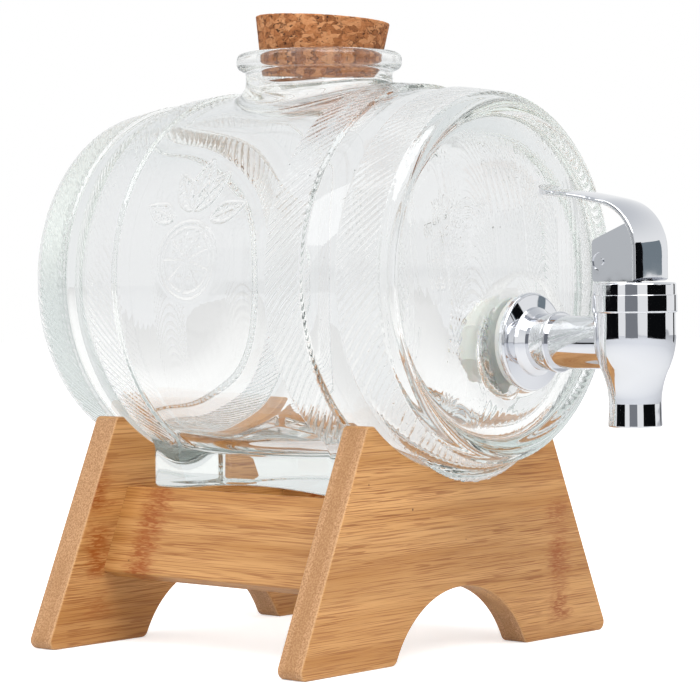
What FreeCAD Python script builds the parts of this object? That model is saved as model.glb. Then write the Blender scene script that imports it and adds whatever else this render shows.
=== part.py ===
import FreeCAD, Part
import math
import os
import re

import Sketcher

# Cocktail dispenser: a glass barrel with a lever tap, lying in a bamboo stand.
# X runs across the stand, Y along the barrel with the tap at -Y, Z up. Millimetres.

SIZES = {
    # bamboo end boards
    "board_tall": 69.1,
    "board_thick": 9.4,
    "board_pitch": 103.0,
    "foot_reach": 71.2,
    "shoulder_land": 3.056,
    "arch_reach": 29.9,
    "arch_rise": 20.0,
    "foot_round": 2.5,
    "shoulder_round": 1.6,
    "lip_round": 1.5,
    "edge_ease": 0.7,
    # leaning stretchers beside the glass foot, set in from the boards' leaning edges
    "rail_inset": 13.504,
    "rail_lap": 0.7,
    "rail_wide": 27.9,
    "rail_thick": 6.5,
    "rail_ease": 0.8,
    # dowels
    "dowel_r": 2.0,
    "dowel_pitch": 14.0,
    "dowel_bite": 5.5,
    "dowel_grip": 12.0,
    "dowel_slack": 0.05,
    "dowel_end_gap": 0.3,
    # glass barrel
    "axis_tall": 110.7,
    "barrel_y": -1.5,
    "belly_r": 58.5,
    "stave_r": 436.0,
    "hoop_proud": 1.2,
    "hoop_1_from": 31.0,
    "hoop_1_to": 44.2,
    "hoop_2_from": 56.0,
    "hoop_2_to": 70.2,
    "chime_step": 0.2,
    "chime_inset": 5.811,
    "chime_bend_r": 3.4,
    "head_rise": 8.0,
    "glass_wall": 5.0,
    "head_wall": 5.5,
    "inner_corner_r": 9.0,
    "cradle_gap": 0.3,
    # foot block under the barrel
    "block_deep": 5.0,
    "block_reach_x": 31.0,
    "block_reach_y": 44.4,
    "block_round": 3.0,
    "block_arch_reach": 30.0,
    "block_arch_rise": 2.0,
    # neck and cork
    "neck_r": 22.5,
    "lip_r": 25.3,
    "neck_tall": 5.4,
    "lip_tall": 5.3,
    "lip_edge_r": 2.2,
    "neck_fillet": 3.0,
    "cork_top_r": 20.5,
    "cork_foot_r": 17.9,
    "cork_proud": 10.0,
    "cork_long": 19.0,
    "cork_chamfer": 0.8,
    "cork_tilt": 3.8,
    "cork_gap": 0.9,
    # tap hole and the tail through it
    "tap_drop": 18.4,
    "boss_r": 15.6,
    "boss_y": 78.5,
    "seat_wall": 6.5,
    "seat_spot_r": 14.2,
    "tail_r": 8.0,
    "tail_slack": 0.3,
    "tail_bore_r": 4.0,
    "gasket_thick": 2.0,
    "gasket_r": 13.5,
    "washer_r": 12.6,
    "nut_flats": 22.0,
    "nut_thick": 8.0,
    "nut_slack": 0.05,
    "nut_chamfer": 0.8,
    "tail_spare": 3.0,
    # flange and socket of the tail
    "flange_r": 14.14,
    "flange_rim": 1.0,
    "flange_bevel": 0.7,
    "bead_edge": 0.4,
    "tier_r": 10.0,
    "tier_y": 2.4,
    "tier_step": 0.9,
    "socket_r": 8.2,
    "socket_from": 4.8,
    "bead_r": 8.75,
    "bead_wide": 1.6,
    "bead_y": 10.0,
    "socket_bore_r": 6.1,
    "spigot_slack": 0.15,
    "spigot_long": 7.4,
    # valve body
    "tap_reach": 39.06,
    "arm_r": 7.5,
    "body_r": 11.45,
    "waist_r": 7.3,
    "mouth_r": 7.5,
    "shoulder_z": 2.2,
    "waist_z": 16.8,
    "mouth_z": 23.3,
    "seam_z": 8.4,
    "mouth_edge": 0.4,
    "chamber_r": 8.2,
    "seat_z": 5.5,
    "outlet_r": 5.2,
    "screw_r": 10.1,
    "screw_top": 12.6,
    # bonnet
    "bonnet_r": 11.87,
    "bonnet_top": 16.8,
    "bonnet_step": 0.25,
    "bonnet_step_z": 13.4,
    "bonnet_edge": 0.7,
    "bonnet_rim": 0.5,
    "step_round": 0.2,
    "screw_slack": 0.05,
    "bonnet_washer": 1.2,
    "guide_r": 3.7,
    "guide_low": 9.6,
    # stem, spring and cup
    "stem_r": 2.1,
    "running_slack": 0.05,
    "stem_seal_z": 11.6,
    "seal_cord_r": 0.7,
    "spring_plate_z": 1.6,
    "spring_plate_thick": 1.0,
    "spring_r": 4.35,
    "spring_wire": 0.8,
    "spring_turns": 5.0,
    "button_r": 3.2,
    "button_thick": 1.2,
    "button_neck_r": 1.5,
    "cup_r": 7.0,
    "cup_crown_r": 4.4,
    "cup_gap": 0.1,
    "cup_hollow_r": 5.6,
    "cup_hollow_deep": 1.6,
    # lever
    "lever_wide": 15.6,
    "lever_thick": 2.0,
    "lever_crown": 0.7,
    "lever_edge": 0.5,
    "lever_front": 6.7,
    "lever_bend_z": 5.1,
    "lever_bend_r": 15.5,
    "lever_slope": 13.0,
    "arm_bend_r": 131.0,
    "arm_end_slope": 5.0,
    "tip_curl_r": 28.0,
    "tip_slope": 20.0,
    "tip_round": 7.0,
    "cheek_out": 6.4,
    "cheek_in": 4.6,
    "cheek_rear": 9.8,
    "cheek_rear_z": 8.3,
    "cheek_turn": 35.0,
    "gap_skin": 0.1,
    "cheek_round": 1.2,
    "hub_r": 2.8,
    "hub_in": 2.4,
    "heel_drop": 3.2,
    "heel_gap": 0.3,
    "heel_rate": 3.8,
    "lever_swing": 40.0,
    "stem_clear": 0.4,
    "pin_r": 1.0,
    "pin_long": 11.4,
    "pin_slack": 0.02,
    "mark_y": 7.0,
    "mark_z": 2.4,
    "mark_r": 2.6,
    "mark_core_r": 1.0,
    "mark_deep": 0.35,
}

# Sizes that follow from the ones above. They are worked out in this order.
DERIVED = {
    # origin: centre of the whole object's footprint
    "head_y": "hoop_2_to + chime_step + head_rise",
    "shift_y": "(boss_y + tap_reach + bonnet_r - head_y) / 2 - barrel_y",
    # boards and cradle
    "board_y": "board_pitch / 2",
    "board_inner_y": "board_y - board_thick / 2",
    "groove_r": "sqrt(stave_r^2 - (board_inner_y + barrel_y)^2) - stave_r + belly_r",
    "cradle_r": "groove_r + cradle_gap",
    "cradle_reach": "sqrt(cradle_r^2 - (axis_tall - board_tall)^2)",
    "shoulder_reach": "cradle_reach + shoulder_land",
    "arch_r": "(arch_reach^2 + arch_rise^2) / (2 * arch_rise)",
    # stretchers lean like the edges of the boards
    "lean": "atan((foot_reach - shoulder_reach) / board_tall)",
    "block_floor": "axis_tall - belly_r - block_deep",
    "rail_top": "block_floor + rail_lap",
    "rail_reach": "foot_reach - rail_top * tan(lean) - rail_inset",
    "rail_foot_reach": "rail_reach + rail_wide * sin(lean)",
    "rail_foot": "rail_top - rail_wide * cos(lean)",
    "rail_in_x": "rail_thick * cos(lean)",
    "rail_in_z": "rail_thick * sin(lean)",
    "rail_long": "board_pitch - board_thick",
    "rail_mid_x": "(rail_reach + rail_foot_reach - rail_in_x) / 2",
    "rail_mid_z": "(rail_top + rail_foot - rail_in_z) / 2",
    "dowel_step_x": "dowel_pitch / 2 * sin(lean)",
    "dowel_step_z": "dowel_pitch / 2 * cos(lean)",
    "dowel_hole_r": "dowel_r + dowel_slack",
    "dowel_long": "dowel_bite + dowel_grip - 2 * dowel_end_gap",
    # barrel profile: radius of the staves at each edge of a hoop
    "stave_at_1": "sqrt(stave_r^2 - hoop_1_from^2) - stave_r + belly_r",
    "stave_at_2": "sqrt(stave_r^2 - hoop_1_to^2) - stave_r + belly_r",
    "stave_at_3": "sqrt(stave_r^2 - hoop_2_from^2) - stave_r + belly_r",
    "stave_at_4": "sqrt(stave_r^2 - hoop_2_to^2) - stave_r + belly_r",
    "hoop_at_1": "sqrt((stave_r + hoop_proud)^2 - hoop_1_from^2) - stave_r + belly_r",
    "hoop_at_2": "sqrt((stave_r + hoop_proud)^2 - hoop_1_to^2) - stave_r + belly_r",
    "hoop_at_3": "sqrt((stave_r + hoop_proud)^2 - hoop_2_from^2) - stave_r + belly_r",
    "hoop_at_4": "sqrt((stave_r + hoop_proud)^2 - hoop_2_to^2) - stave_r + belly_r",
    "chime_y": "hoop_2_to + chime_step",
    "chime_r": "stave_at_4 - chime_inset",
    "head_r": "(chime_r^2 + head_rise^2) / (2 * head_rise)",
    # inside of the barrel: the same curves one wall further in
    "inner_belly_r": "belly_r - glass_wall",
    "inner_stave_r": "stave_r - glass_wall",
    "inner_head_y": "head_y - head_wall",
    "inner_edge_r": "stave_at_4 - glass_wall - inner_corner_r",
    "inner_head_edge": "inner_head_y - head_r + sqrt(head_r^2 - inner_edge_r^2)",
    "inner_side_y": "inner_head_edge - inner_corner_r",
    "inner_side_r": "sqrt(inner_stave_r^2 - inner_side_y^2) - inner_stave_r + inner_belly_r",
    "lip_low": "axis_tall + belly_r + neck_tall",
    "lip_top": "lip_low + lip_tall",
    "spot_y": "boss_y - seat_wall",
    "hole_r": "tail_r + tail_slack",
    "block_arch_r": "(block_arch_reach^2 + block_arch_rise^2) / (2 * block_arch_rise)",
    # neck bore: the cork's taper with room round it
    "cork_top": "lip_top + cork_proud",
    "cork_foot": "cork_top - cork_long",
    "cork_taper": "(cork_top_r - cork_foot_r) / cork_long",
    "bore_top_r": "cork_foot_r + cork_taper * (lip_top - cork_foot) + cork_gap",
    "bore_foot_r": "cork_foot_r + cork_gap",
    # tap
    "tap_tall": "axis_tall - tap_drop",
    "tail_end": "seat_wall + gasket_thick + nut_thick + tail_spare",
    "nut_y": "seat_wall + gasket_thick",
    "nut_corner_r": "nut_flats / 2 / cos(22.5)",
    "bead_end": "gasket_thick + bead_y + bead_wide",
    "spigot_r": "socket_bore_r - spigot_slack",
    "arm_long": "tap_reach - bead_end",
    "spigot_end": "arm_long + spigot_long",
    "arm_seal_y": "arm_long + spigot_long / 2",
    "arm_seal_r": "spigot_r - seal_cord_r + spigot_slack",
    "sway_z": "(shoulder_z - waist_z) / 2",
    "sway_r": "(body_r + waist_r) / 2",
    "sway_half_z": "(shoulder_z + waist_z) / 2",
    "sway_half_r": "(body_r - waist_r) / 2",
    "sway_bend_r": "(sway_half_z^2 + sway_half_r^2) / (2 * sway_half_r)",
    "bonnet_ceiling": "screw_top + bonnet_washer",
    "guide_bore_r": "stem_r + running_slack",
    "seal_ring_r": "guide_bore_r + seal_cord_r",
    "plate_top": "spring_plate_z + spring_plate_thick",
    "spring_long": "bonnet_ceiling - plate_top - spring_wire",
    "button_low": "0 - seat_z + cup_gap + cup_hollow_deep + 0.6",
    "button_top": "button_low + button_thick",
    # lever, measured from its pin
    "pin_z": "bonnet_top + heel_gap + heel_drop",
    "heel_end_drop": "heel_drop + heel_rate * lever_swing * pi / 180",
    "heel_out": "heel_end_drop * sin(lever_swing) + heel_rate * cos(lever_swing)",
    "heel_low": "heel_rate * sin(lever_swing) - heel_end_drop * cos(lever_swing)",
    "heel_rise": "heel_low + heel_drop",
    "heel_bend_r": "((heel_out - heel_rate)^2 + heel_rise^2) / (2 * heel_rise)",
    "spine_bend_r": "lever_bend_r - lever_thick / 2",
    "spine_front": "lever_front - lever_thick / 2",
    "bend_end_y": "spine_bend_r * (1 - sin(lever_slope)) - spine_front",
    "bend_end_z": "lever_bend_z + spine_bend_r * cos(lever_slope)",
    "arm_end_y": "bend_end_y + arm_bend_r * (sin(lever_slope) - sin(arm_end_slope))",
    "arm_end_z": "bend_end_z + arm_bend_r * (cos(arm_end_slope) - cos(lever_slope))",
    "tip_y": "arm_end_y + tip_curl_r * (sin(tip_slope) - sin(arm_end_slope))",
    "tip_z": "arm_end_z + tip_curl_r * (cos(arm_end_slope) - cos(tip_slope))",
    "cheek_fore_y": "spine_bend_r * (1 - cos(cheek_turn)) - spine_front",
    "cheek_fore_z": "lever_bend_z + spine_bend_r * sin(cheek_turn)",
    "gap_bend_r": "spine_bend_r - lever_thick / 2 - gap_skin",
    "gap_front": "lever_thick - lever_front + gap_skin",
    "gap_top_y": "gap_front + gap_bend_r * (1 - cos(cheek_turn + 10))",
    "gap_top_z": "lever_bend_z + gap_bend_r * sin(cheek_turn + 10)",
    "relief_low": "0 - heel_drop - 1",
    "relief_low_y": "(relief_low * sin(lever_swing) - stem_r - stem_clear) / cos(lever_swing)",
    "relief_top": "(gap_front * cos(lever_swing) + stem_r + stem_clear) / sin(lever_swing)",
    "crown_r": "((lever_wide / 2)^2 + lever_crown^2) / (2 * lever_crown)",
    # rounded long edges of the ribbon, tangent to its side and to its crown
    "edge_middle": "lever_wide / 2 - lever_edge",
    "edge_fall": "sqrt((crown_r - lever_edge)^2 - edge_middle^2)",
    "edge_side_y": "crown_r - lever_front - edge_fall",
    "edge_x": "edge_middle * crown_r / (crown_r - lever_edge)",
    "edge_y": "crown_r - lever_front - edge_fall * crown_r / (crown_r - lever_edge)",
    "tip_from": "tip_y - tip_round",
    "tip_side": "lever_wide / 2 - tip_round",
}

FRONT, REAR = -1, 1
LEFT, RIGHT = -1, 1

doc = FreeCAD.newDocument("cocktail_dispenser")
sheet = doc.addObject("Spreadsheet::Sheet", "Sizes")
derived = doc.addObject("App::VarSet", "Derived")
nodes = []


def bound(text):
    """Turn plain size names into references to the sheet and the derived sizes."""
    def place(match):
        name = match.group(0)
        if name in SIZES:
            return "Sizes." + name
        return "Derived." + name if name in DERIVED else name
    return re.sub(r"[a-z][a-z_0-9]*", place, text)


def value(text):
    """Current number of an expression in size names."""
    number = sheet.evalExpression(bound(text))
    return float(getattr(number, "Value", number))


def fill_sheet():
    for row, (name, number) in enumerate(SIZES.items(), start=1):
        sheet.set(f"A{row}", name)
        sheet.set(f"B{row}", str(number))
        sheet.setAlias(f"B{row}", name)
    doc.recompute()
    for name, text in DERIVED.items():
        derived.addProperty("App::PropertyFloat", name)
        derived.setExpression(name, bound(text))
        doc.recompute()


def new_body(name, y="0", z="0", x="0"):
    """A sub-part of its own, placed by expressions from the object's origin."""
    body = doc.addObject("PartDesign::Body", name)
    body.Label = name
    body.setExpression("Placement.Base.x", bound(x))
    body.setExpression("Placement.Base.y", bound(f"shift_y + ({y})"))
    body.setExpression("Placement.Base.z", bound(z))
    nodes.append(body)
    return body


def new_sketch(body, plane, name, offset="0"):
    """A sketch on one of the body's own origin planes, moved along its normal."""
    sketch = body.newObject("Sketcher::SketchObject", name)
    support = [item for item in body.Origin.OriginFeatures if item.Role == plane][0]
    sketch.AttachmentSupport = [(support, "")]
    sketch.MapMode = "FlatFace"
    sketch.setExpression("AttachmentOffset.Base.z", bound(offset))
    return sketch


def dimension(sketch, kind, references, text):
    """A named dimension bound to an expression."""
    index = sketch.addConstraint(Sketcher.Constraint(kind, *references, value(text)))
    name = f"{kind.lower()}_{index}"
    sketch.renameConstraint(index, name)
    sketch.setExpression(f"Constraints.{name}", bound(text))


def fix_point(sketch, edge, end, x, y):
    """Hold the end of an edge at expressions x, y of the sketch."""
    for kind, text, axis in (("DistanceX", x, -2), ("DistanceY", y, -1)):
        if text == "0":
            sketch.addConstraint(Sketcher.Constraint("PointOnObject", edge, end, axis))
        else:
            dimension(sketch, kind, (-1, 1, edge, end), text)


def arc_between(start, end, radius, turn):
    """Arc of under half a turn; turn is 1 for counter-clockwise and -1 for clockwise."""
    chord = end - start
    rise = math.sqrt(max(radius ** 2 - (chord.Length / 2) ** 2, 0))
    side = FreeCAD.Vector(-chord.y, chord.x, 0).normalize() * turn
    centre = (start + end) / 2 + side * rise
    first, last = (start, end) if turn > 0 else (end, start)
    angles = [math.atan2(spot.y - centre.y, spot.x - centre.x) for spot in (first, last)]
    return Part.ArcOfCircle(Part.Circle(centre, FreeCAD.Vector(0, 0, 1), radius), *angles)


def outline(sketch, corners, closed=True):
    """Draw an outline. A corner is (x, y), or (x, y, radius, turn) where an arc leaves it."""
    spots = [FreeCAD.Vector(value(corner[0]), value(corner[1]), 0) for corner in corners]
    edges = []
    last = len(corners) if closed else len(corners) - 1
    for number in range(last):
        corner, start = corners[number], spots[number]
        end = spots[(number + 1) % len(spots)]
        if len(corner) == 2:
            edges.append((sketch.addGeometry(Part.LineSegment(start, end)), 1, 2))
            continue
        radius, turn = corner[2:]
        edge = sketch.addGeometry(arc_between(start, end, value(radius), turn))
        edges.append((edge, 1, 2) if turn > 0 else (edge, 2, 1))
        dimension(sketch, "Radius", (edge,), radius)
    for number, (edge, head, tail) in enumerate(edges):
        fix_point(sketch, edge, head, *corners[number][:2])
        if closed or number + 1 < len(edges):
            following, following_head, _ = edges[(number + 1) % len(edges)]
            joint = Sketcher.Constraint("Coincident", edge, tail, following, following_head)
            sketch.addConstraint(joint)
    if not closed:
        edge, _, tail = edges[-1]
        fix_point(sketch, edge, tail, *corners[-1][:2])
    return sketch


def circle(sketch, x, y, radius):
    centre = FreeCAD.Vector(value(x), value(y), 0)
    edge = sketch.addGeometry(Part.Circle(centre, FreeCAD.Vector(0, 0, 1), value(radius)))
    dimension(sketch, "Radius", (edge,), radius)
    fix_point(sketch, edge, 3, x, y)
    return sketch


def feature(body, kind, name, sketch=None, **settings):
    """Add a feature. Text settings are expressions; the solid has to change."""
    before = body.Shape.Volume if body.Tip else 0
    item = body.newObject(f"PartDesign::{kind}", name)
    if sketch is not None:
        item.Profile = sketch
    for setting, content in settings.items():
        if isinstance(content, str) and setting in ("Length", "Angle", "Radius", "Size", "Pitch", "Height"):
            item.setExpression(setting, bound(content))
        else:
            setattr(item, setting, content)
    doc.recompute()
    body.Tip = item
    doc.recompute()
    change = item.Shape.Volume - before
    removes = kind in ("Pocket", "Groove")
    if (removes and change > -1e-6) or (not removes and abs(change) < 1e-6):
        raise RuntimeError(f"{body.Label}: {name} changes nothing")
    return item


def pad(body, sketch, name, length, **settings):
    return feature(body, "Pad", name, sketch, Length=length, **settings)


def pocket(body, sketch, name, length, **settings):
    return feature(body, "Pocket", name, sketch, Length=length, **settings)


def turned(body, sketch, name, axis="V_Axis", kind="Revolution"):
    """Revolve a sketch a full turn about its own vertical or horizontal axis."""
    return feature(body, kind, name, sketch, ReferenceAxis=(sketch, [axis]), Angle=360.0)


def edges_where(item, test):
    """Names of the edges of a feature whose middle point and tangent pass the test."""
    names = []
    for number, edge in enumerate(item.Shape.Edges, start=1):
        middle = edge.valueAt((edge.FirstParameter + edge.LastParameter) / 2)
        if test(edge, middle):
            names.append(f"Edge{number}")
    return names


def rounded(body, name, radius, test, kind="Fillet"):
    """Fillet or chamfer the edges that pass the test."""
    names = edges_where(body.Tip, test)
    if not names:
        raise RuntimeError(f"{body.Label}: {name} finds no edge")
    size = {"Radius": radius} if kind == "Fillet" else {"Size": radius}
    return feature(body, kind, name, Base=(body.Tip, names), **size)


def near(first, second, reach=0.01):
    return abs(first - second) < reach


def straight(edge):
    if len(edge.Vertexes) != 2:
        return False
    first, last = (corner.Point for corner in edge.Vertexes)
    return near(first.distanceToPoint(last), edge.Length, 1e-5)


def along(edge, axis):
    """True for a straight edge that runs along the axis."""
    return straight(edge) and abs(edge.tangentAt(edge.FirstParameter).dot(axis)) > 0.999


X_WAY = FreeCAD.Vector(1, 0, 0)
Y_WAY = FreeCAD.Vector(0, 1, 0)
Z_WAY = FreeCAD.Vector(0, 0, 1)


def dowel_spots(side):
    """Centres of the two dowels at one end of a stretcher, as expressions x, z."""
    return [(f"{side} * (rail_mid_x + {step} * dowel_step_x)", f"rail_mid_z - {step} * dowel_step_z")
            for step in (-1, 1)]


# ---- Bamboo stand ----

def end_board(name, end):
    """A-shaped board with an arch between its feet and a cradle for the barrel."""
    body = new_body(name, y=f"{end} * board_y")
    profile = outline(new_sketch(body, "XZ_Plane", name + "_profile"), [
        ("0 - arch_reach", "0", "arch_r", -1),
        ("arch_reach", "0"),
        ("foot_reach", "0"),
        ("shoulder_reach", "board_tall"),
        ("cradle_reach", "board_tall", "cradle_r", -1),
        ("0 - cradle_reach", "board_tall"),
        ("0 - shoulder_reach", "board_tall"),
        ("0 - foot_reach", "0"),
    ])
    pad(body, profile, name + "_plate", "board_thick", SideType="Symmetric")
    holes = new_sketch(body, "XZ_Plane", name + "_dowel_holes", f"{end} * board_thick / 2")
    for side in (LEFT, RIGHT):
        for x, z in dowel_spots(side):
            circle(holes, x, z, "dowel_hole_r")
    pocket(body, holes, name + "_holes", "dowel_bite", Reversed=end == FRONT)
    tall, lip = value("board_tall"), value("cradle_reach")
    rounded(body, name + "_feet", "foot_round", lambda edge, at: along(edge, Y_WAY)
            and near(at.z, 0))
    rounded(body, name + "_shoulders", "shoulder_round", lambda edge, at: along(edge, Y_WAY)
            and near(at.z, tall) and abs(at.x) > lip + 0.1)
    rounded(body, name + "_lips", "lip_round", lambda edge, at: along(edge, Y_WAY)
            and near(at.z, tall) and near(abs(at.x), lip))
    face = value("board_thick / 2")
    rounded(body, name + "_eased", "edge_ease", lambda edge, at: near(abs(at.y), face)
            and edge.Length > 8 and (straight(edge) or edge.Curve.Radius > 10))
    return body


def stretcher(name, side):
    """Rail that leans like the boards' edges, doweled between them."""
    body = new_body(name)
    corners = [
        (f"{side} * rail_reach", "rail_top"),
        (f"{side} * rail_foot_reach", "rail_foot"),
        (f"{side} * (rail_foot_reach - rail_in_x)", "rail_foot - rail_in_z"),
        (f"{side} * (rail_reach - rail_in_x)", "rail_top - rail_in_z"),
    ]
    section = outline(new_sketch(body, "XZ_Plane", name + "_section"), corners)
    pad(body, section, name + "_rail", "rail_long", SideType="Symmetric")
    for end, label in ((FRONT, "front"), (REAR, "rear")):
        holes = new_sketch(body, "XZ_Plane", f"{name}_{label}_ends", f"{-end} * rail_long / 2")
        for x, z in dowel_spots(side):
            circle(holes, x, z, "dowel_hole_r")
        pocket(body, holes, f"{name}_{label}_holes", "dowel_grip", Reversed=end == REAR)
    rounded(body, name + "_eased", "rail_ease", lambda edge, at: along(edge, Y_WAY)
            and edge.Length > value("rail_long") - 1)
    return body


def dowel_set(name, end):
    """The four dowels of one board, as separate solids in one group."""
    pins = []
    for side, word in ((LEFT, "left"), (RIGHT, "right")):
        for number, (x, z) in enumerate(dowel_spots(side), start=1):
            pin = doc.addObject("Part::Cylinder", f"{name}_{word}_{number}")
            pin.setExpression("Radius", bound("dowel_r"))
            pin.setExpression("Height", bound("dowel_long"))
            outer = f"{end} * (board_inner_y + dowel_bite - dowel_end_gap)"
            start = outer if end == FRONT else f"{outer} - dowel_long"
            pin.Placement.Rotation = FreeCAD.Rotation(X_WAY, -90)
            pin.setExpression("Placement.Base.x", bound(x))
            pin.setExpression("Placement.Base.y", bound(f"shift_y + {start}"))
            pin.setExpression("Placement.Base.z", bound(z))
            pins.append(pin)
    group = doc.addObject("Part::Compound", name)
    group.Label = name
    group.Links = pins
    nodes.append(group)
    return group


# ---- Glass barrel and cork ----

def barrel_half(end):
    """Outer profile from the middle of the barrel to the middle of one head."""
    return [
        (f"{end} * hoop_1_from", "stave_at_1"),
        (f"{end} * hoop_1_from", "hoop_at_1", "stave_r + hoop_proud", end * -1),
        (f"{end} * hoop_1_to", "hoop_at_2"),
        (f"{end} * hoop_1_to", "stave_at_2", "stave_r", end * -1),
        (f"{end} * hoop_2_from", "stave_at_3"),
        (f"{end} * hoop_2_from", "hoop_at_3", "stave_r + hoop_proud", end * -1),
        (f"{end} * hoop_2_to", "hoop_at_4"),
        (f"{end} * hoop_2_to", "stave_at_4", "chime_bend_r", end * -1),
        (f"{end} * chime_y", "chime_r", "head_r", end * -1),
        (f"{end} * head_y", "0"),
    ]


def reversed_run(corners):
    """The same corners walked the other way, with each arc moved to its other end."""
    run = []
    for number in range(len(corners) - 1, -1, -1):
        arc = corners[number - 1][2:] if number else ()
        run.append(corners[number][:2] + ((arc[0], -arc[1]) if arc else ()))
    return run


def glass_barrel():
    """Barrel of glass with hoops, foot block, neck, tap boss and the hollow inside."""
    body = new_body("glass_barrel", y="barrel_y", z="axis_tall")
    front_run = reversed_run(barrel_half(FRONT))
    front_run[-1] = front_run[-1][:2] + ("stave_r", -1)
    profile = new_sketch(body, "YZ_Plane", "barrel_profile")
    outline(profile, front_run + barrel_half(REAR))
    turned(body, profile, "barrel_form", "H_Axis")

    block = new_sketch(body, "XY_Plane", "block_plan", "block_floor - axis_tall")
    outline(block, [
        ("block_reach_x", "block_reach_y - block_round", "block_round", 1),
        ("block_reach_x - block_round", "block_reach_y"),
        ("block_round - block_reach_x", "block_reach_y", "block_round", 1),
        ("0 - block_reach_x", "block_reach_y - block_round"),
        ("0 - block_reach_x", "block_round - block_reach_y", "block_round", 1),
        ("block_round - block_reach_x", "0 - block_reach_y"),
        ("block_reach_x - block_round", "0 - block_reach_y", "block_round", 1),
        ("block_reach_x", "block_round - block_reach_y"),
    ])
    pad(body, block, "foot_block", "axis_tall - block_floor - inner_belly_r / 2")
    hollow = new_sketch(body, "YZ_Plane", "block_arch_profile")
    outline(hollow, [
        ("0 - block_arch_reach", "block_floor - axis_tall", "block_arch_r", -1),
        ("block_arch_reach", "block_floor - axis_tall"),
    ])
    pocket(body, hollow, "block_arch", "2 * block_reach_x + 2", SideType="Symmetric")

    neck = new_sketch(body, "YZ_Plane", "neck_profile")
    outline(neck, [
        ("0", "inner_belly_r / 2"),
        ("neck_r", "inner_belly_r / 2"),
        ("neck_r", "lip_low - axis_tall"),
        ("lip_r", "lip_low - axis_tall"),
        ("lip_r", "lip_top - axis_tall"),
        ("0", "lip_top - axis_tall"),
    ])
    turned(body, neck, "neck_and_lip")
    belly = value("belly_r")
    rounded(body, "neck_root", "neck_fillet", lambda edge, at: at.z > belly * 0.8
            and at.z < belly + 1 and near(math.hypot(at.x, at.y), value("neck_r"), 0.05))
    rounded(body, "lip_edges", "lip_edge_r", lambda edge, at: at.z > belly + 2
            and near(math.hypot(at.x, at.y), value("lip_r"), 0.05))

    boss = new_sketch(body, "XZ_Plane", "boss_circle", "boss_y")
    circle(boss, "0", "0 - tap_drop", "boss_r")
    pad(body, boss, "tap_boss", "seat_wall - 0.5", Reversed=True)

    cavity = new_sketch(body, "YZ_Plane", "cavity_profile")
    outline(cavity, [
        ("0 - inner_head_y", "0", "head_r", -1),
        ("0 - inner_head_edge", "inner_edge_r", "inner_corner_r + 1.5", -1),
        ("0 - inner_side_y", "inner_side_r", "inner_stave_r", -1),
        ("inner_side_y", "inner_side_r", "inner_corner_r + 1.5", -1),
        ("inner_head_edge", "inner_edge_r", "head_r", -1),
        ("inner_head_y", "0"),
    ])
    turned(body, cavity, "barrel_hollow", "H_Axis", "Groove")

    spot = new_sketch(body, "XZ_Plane", "spot_circle", "spot_y")
    circle(spot, "0", "0 - tap_drop", "seat_spot_r")
    pocket(body, spot, "washer_spot", "head_rise + 4")
    hole = new_sketch(body, "XZ_Plane", "hole_circle", "boss_y")
    circle(hole, "0", "0 - tap_drop", "hole_r")
    pocket(body, hole, "tap_hole", "seat_wall + 1")

    bore = new_sketch(body, "YZ_Plane", "neck_bore_profile")
    outline(bore, [
        ("0", "inner_belly_r / 2"),
        ("bore_foot_r", "inner_belly_r / 2"),
        ("bore_foot_r", "cork_foot - axis_tall"),
        ("bore_top_r", "lip_top - axis_tall"),
        ("0", "lip_top - axis_tall"),
    ])
    turned(body, bore, "neck_bore", kind="Groove")
    return body


def cork_stopper():
    """Tapered cork that sits a little askew in the neck."""
    body = new_body("cork_stopper", y="barrel_y", z="cork_top - cork_long / 2")
    lean_axis = FreeCAD.Vector(0.744, 0.668, 0)
    body.Placement.Rotation = FreeCAD.Rotation(lean_axis, value("cork_tilt"))
    body.setExpression("Placement.Rotation.Angle", bound("cork_tilt"))
    profile = new_sketch(body, "YZ_Plane", "cork_profile")
    outline(profile, [
        ("0", "0 - cork_long / 2"),
        ("cork_foot_r", "0 - cork_long / 2"),
        ("cork_top_r", "cork_long / 2"),
        ("0", "cork_long / 2"),
    ])
    turned(body, profile, "cork_form")
    rounded(body, "cork_edges", "cork_chamfer", lambda edge, at:
            math.hypot(at.x, at.y) > value("cork_foot_r") - 0.1
            and near(abs(at.z), value("cork_long / 2")), "Chamfer")
    return body


# ---- Tap ----

def at_tap_hole(name):
    """Body whose origin is the middle of the tap boss, on the axis of the tail."""
    return new_body(name, y="barrel_y - boss_y", z="tap_tall")


def at_valve(name, z="0"):
    """Body whose origin is where the arm's axis meets the valve's axis."""
    return new_body(name, y="barrel_y - boss_y - tap_reach", z=f"tap_tall + ({z})")


def tap_tail():
    """Flange, socket and tail as one turned form with a bore."""
    body = at_tap_hole("tap_tail")
    profile = new_sketch(body, "YZ_Plane", "tail_profile")
    front = "0 - gasket_thick"
    outline(profile, [
        ("tail_end", "tail_bore_r"),
        ("tail_end", "tail_r"),
        (front, "tail_r"),
        (front, "flange_r"),
        (f"{front} - flange_rim", "flange_r", "flange_bevel", 1),
        (f"{front} - flange_rim - flange_bevel", "flange_r - flange_bevel"),
        (f"{front} - tier_y", "tier_r"),
        (f"{front} - tier_y - tier_step", "tier_r - 0.3"),
        (f"{front} - socket_from", "socket_r"),
        (f"{front} - bead_y", "socket_r"),
        (f"{front} - bead_y", "bead_r - bead_edge", "bead_edge", 1),
        (f"{front} - bead_y - bead_edge", "bead_r"),
        ("bead_edge - bead_end", "bead_r", "bead_edge", 1),
        ("0 - bead_end", "bead_r - bead_edge"),
        ("0 - bead_end", "socket_bore_r"),
        ("0 - bead_end + spigot_long + 0.4", "socket_bore_r"),
        ("0 - bead_end + spigot_long + 0.4", "tail_bore_r"),
    ])
    turned(body, profile, "tail_form", "H_Axis")
    return body


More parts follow.
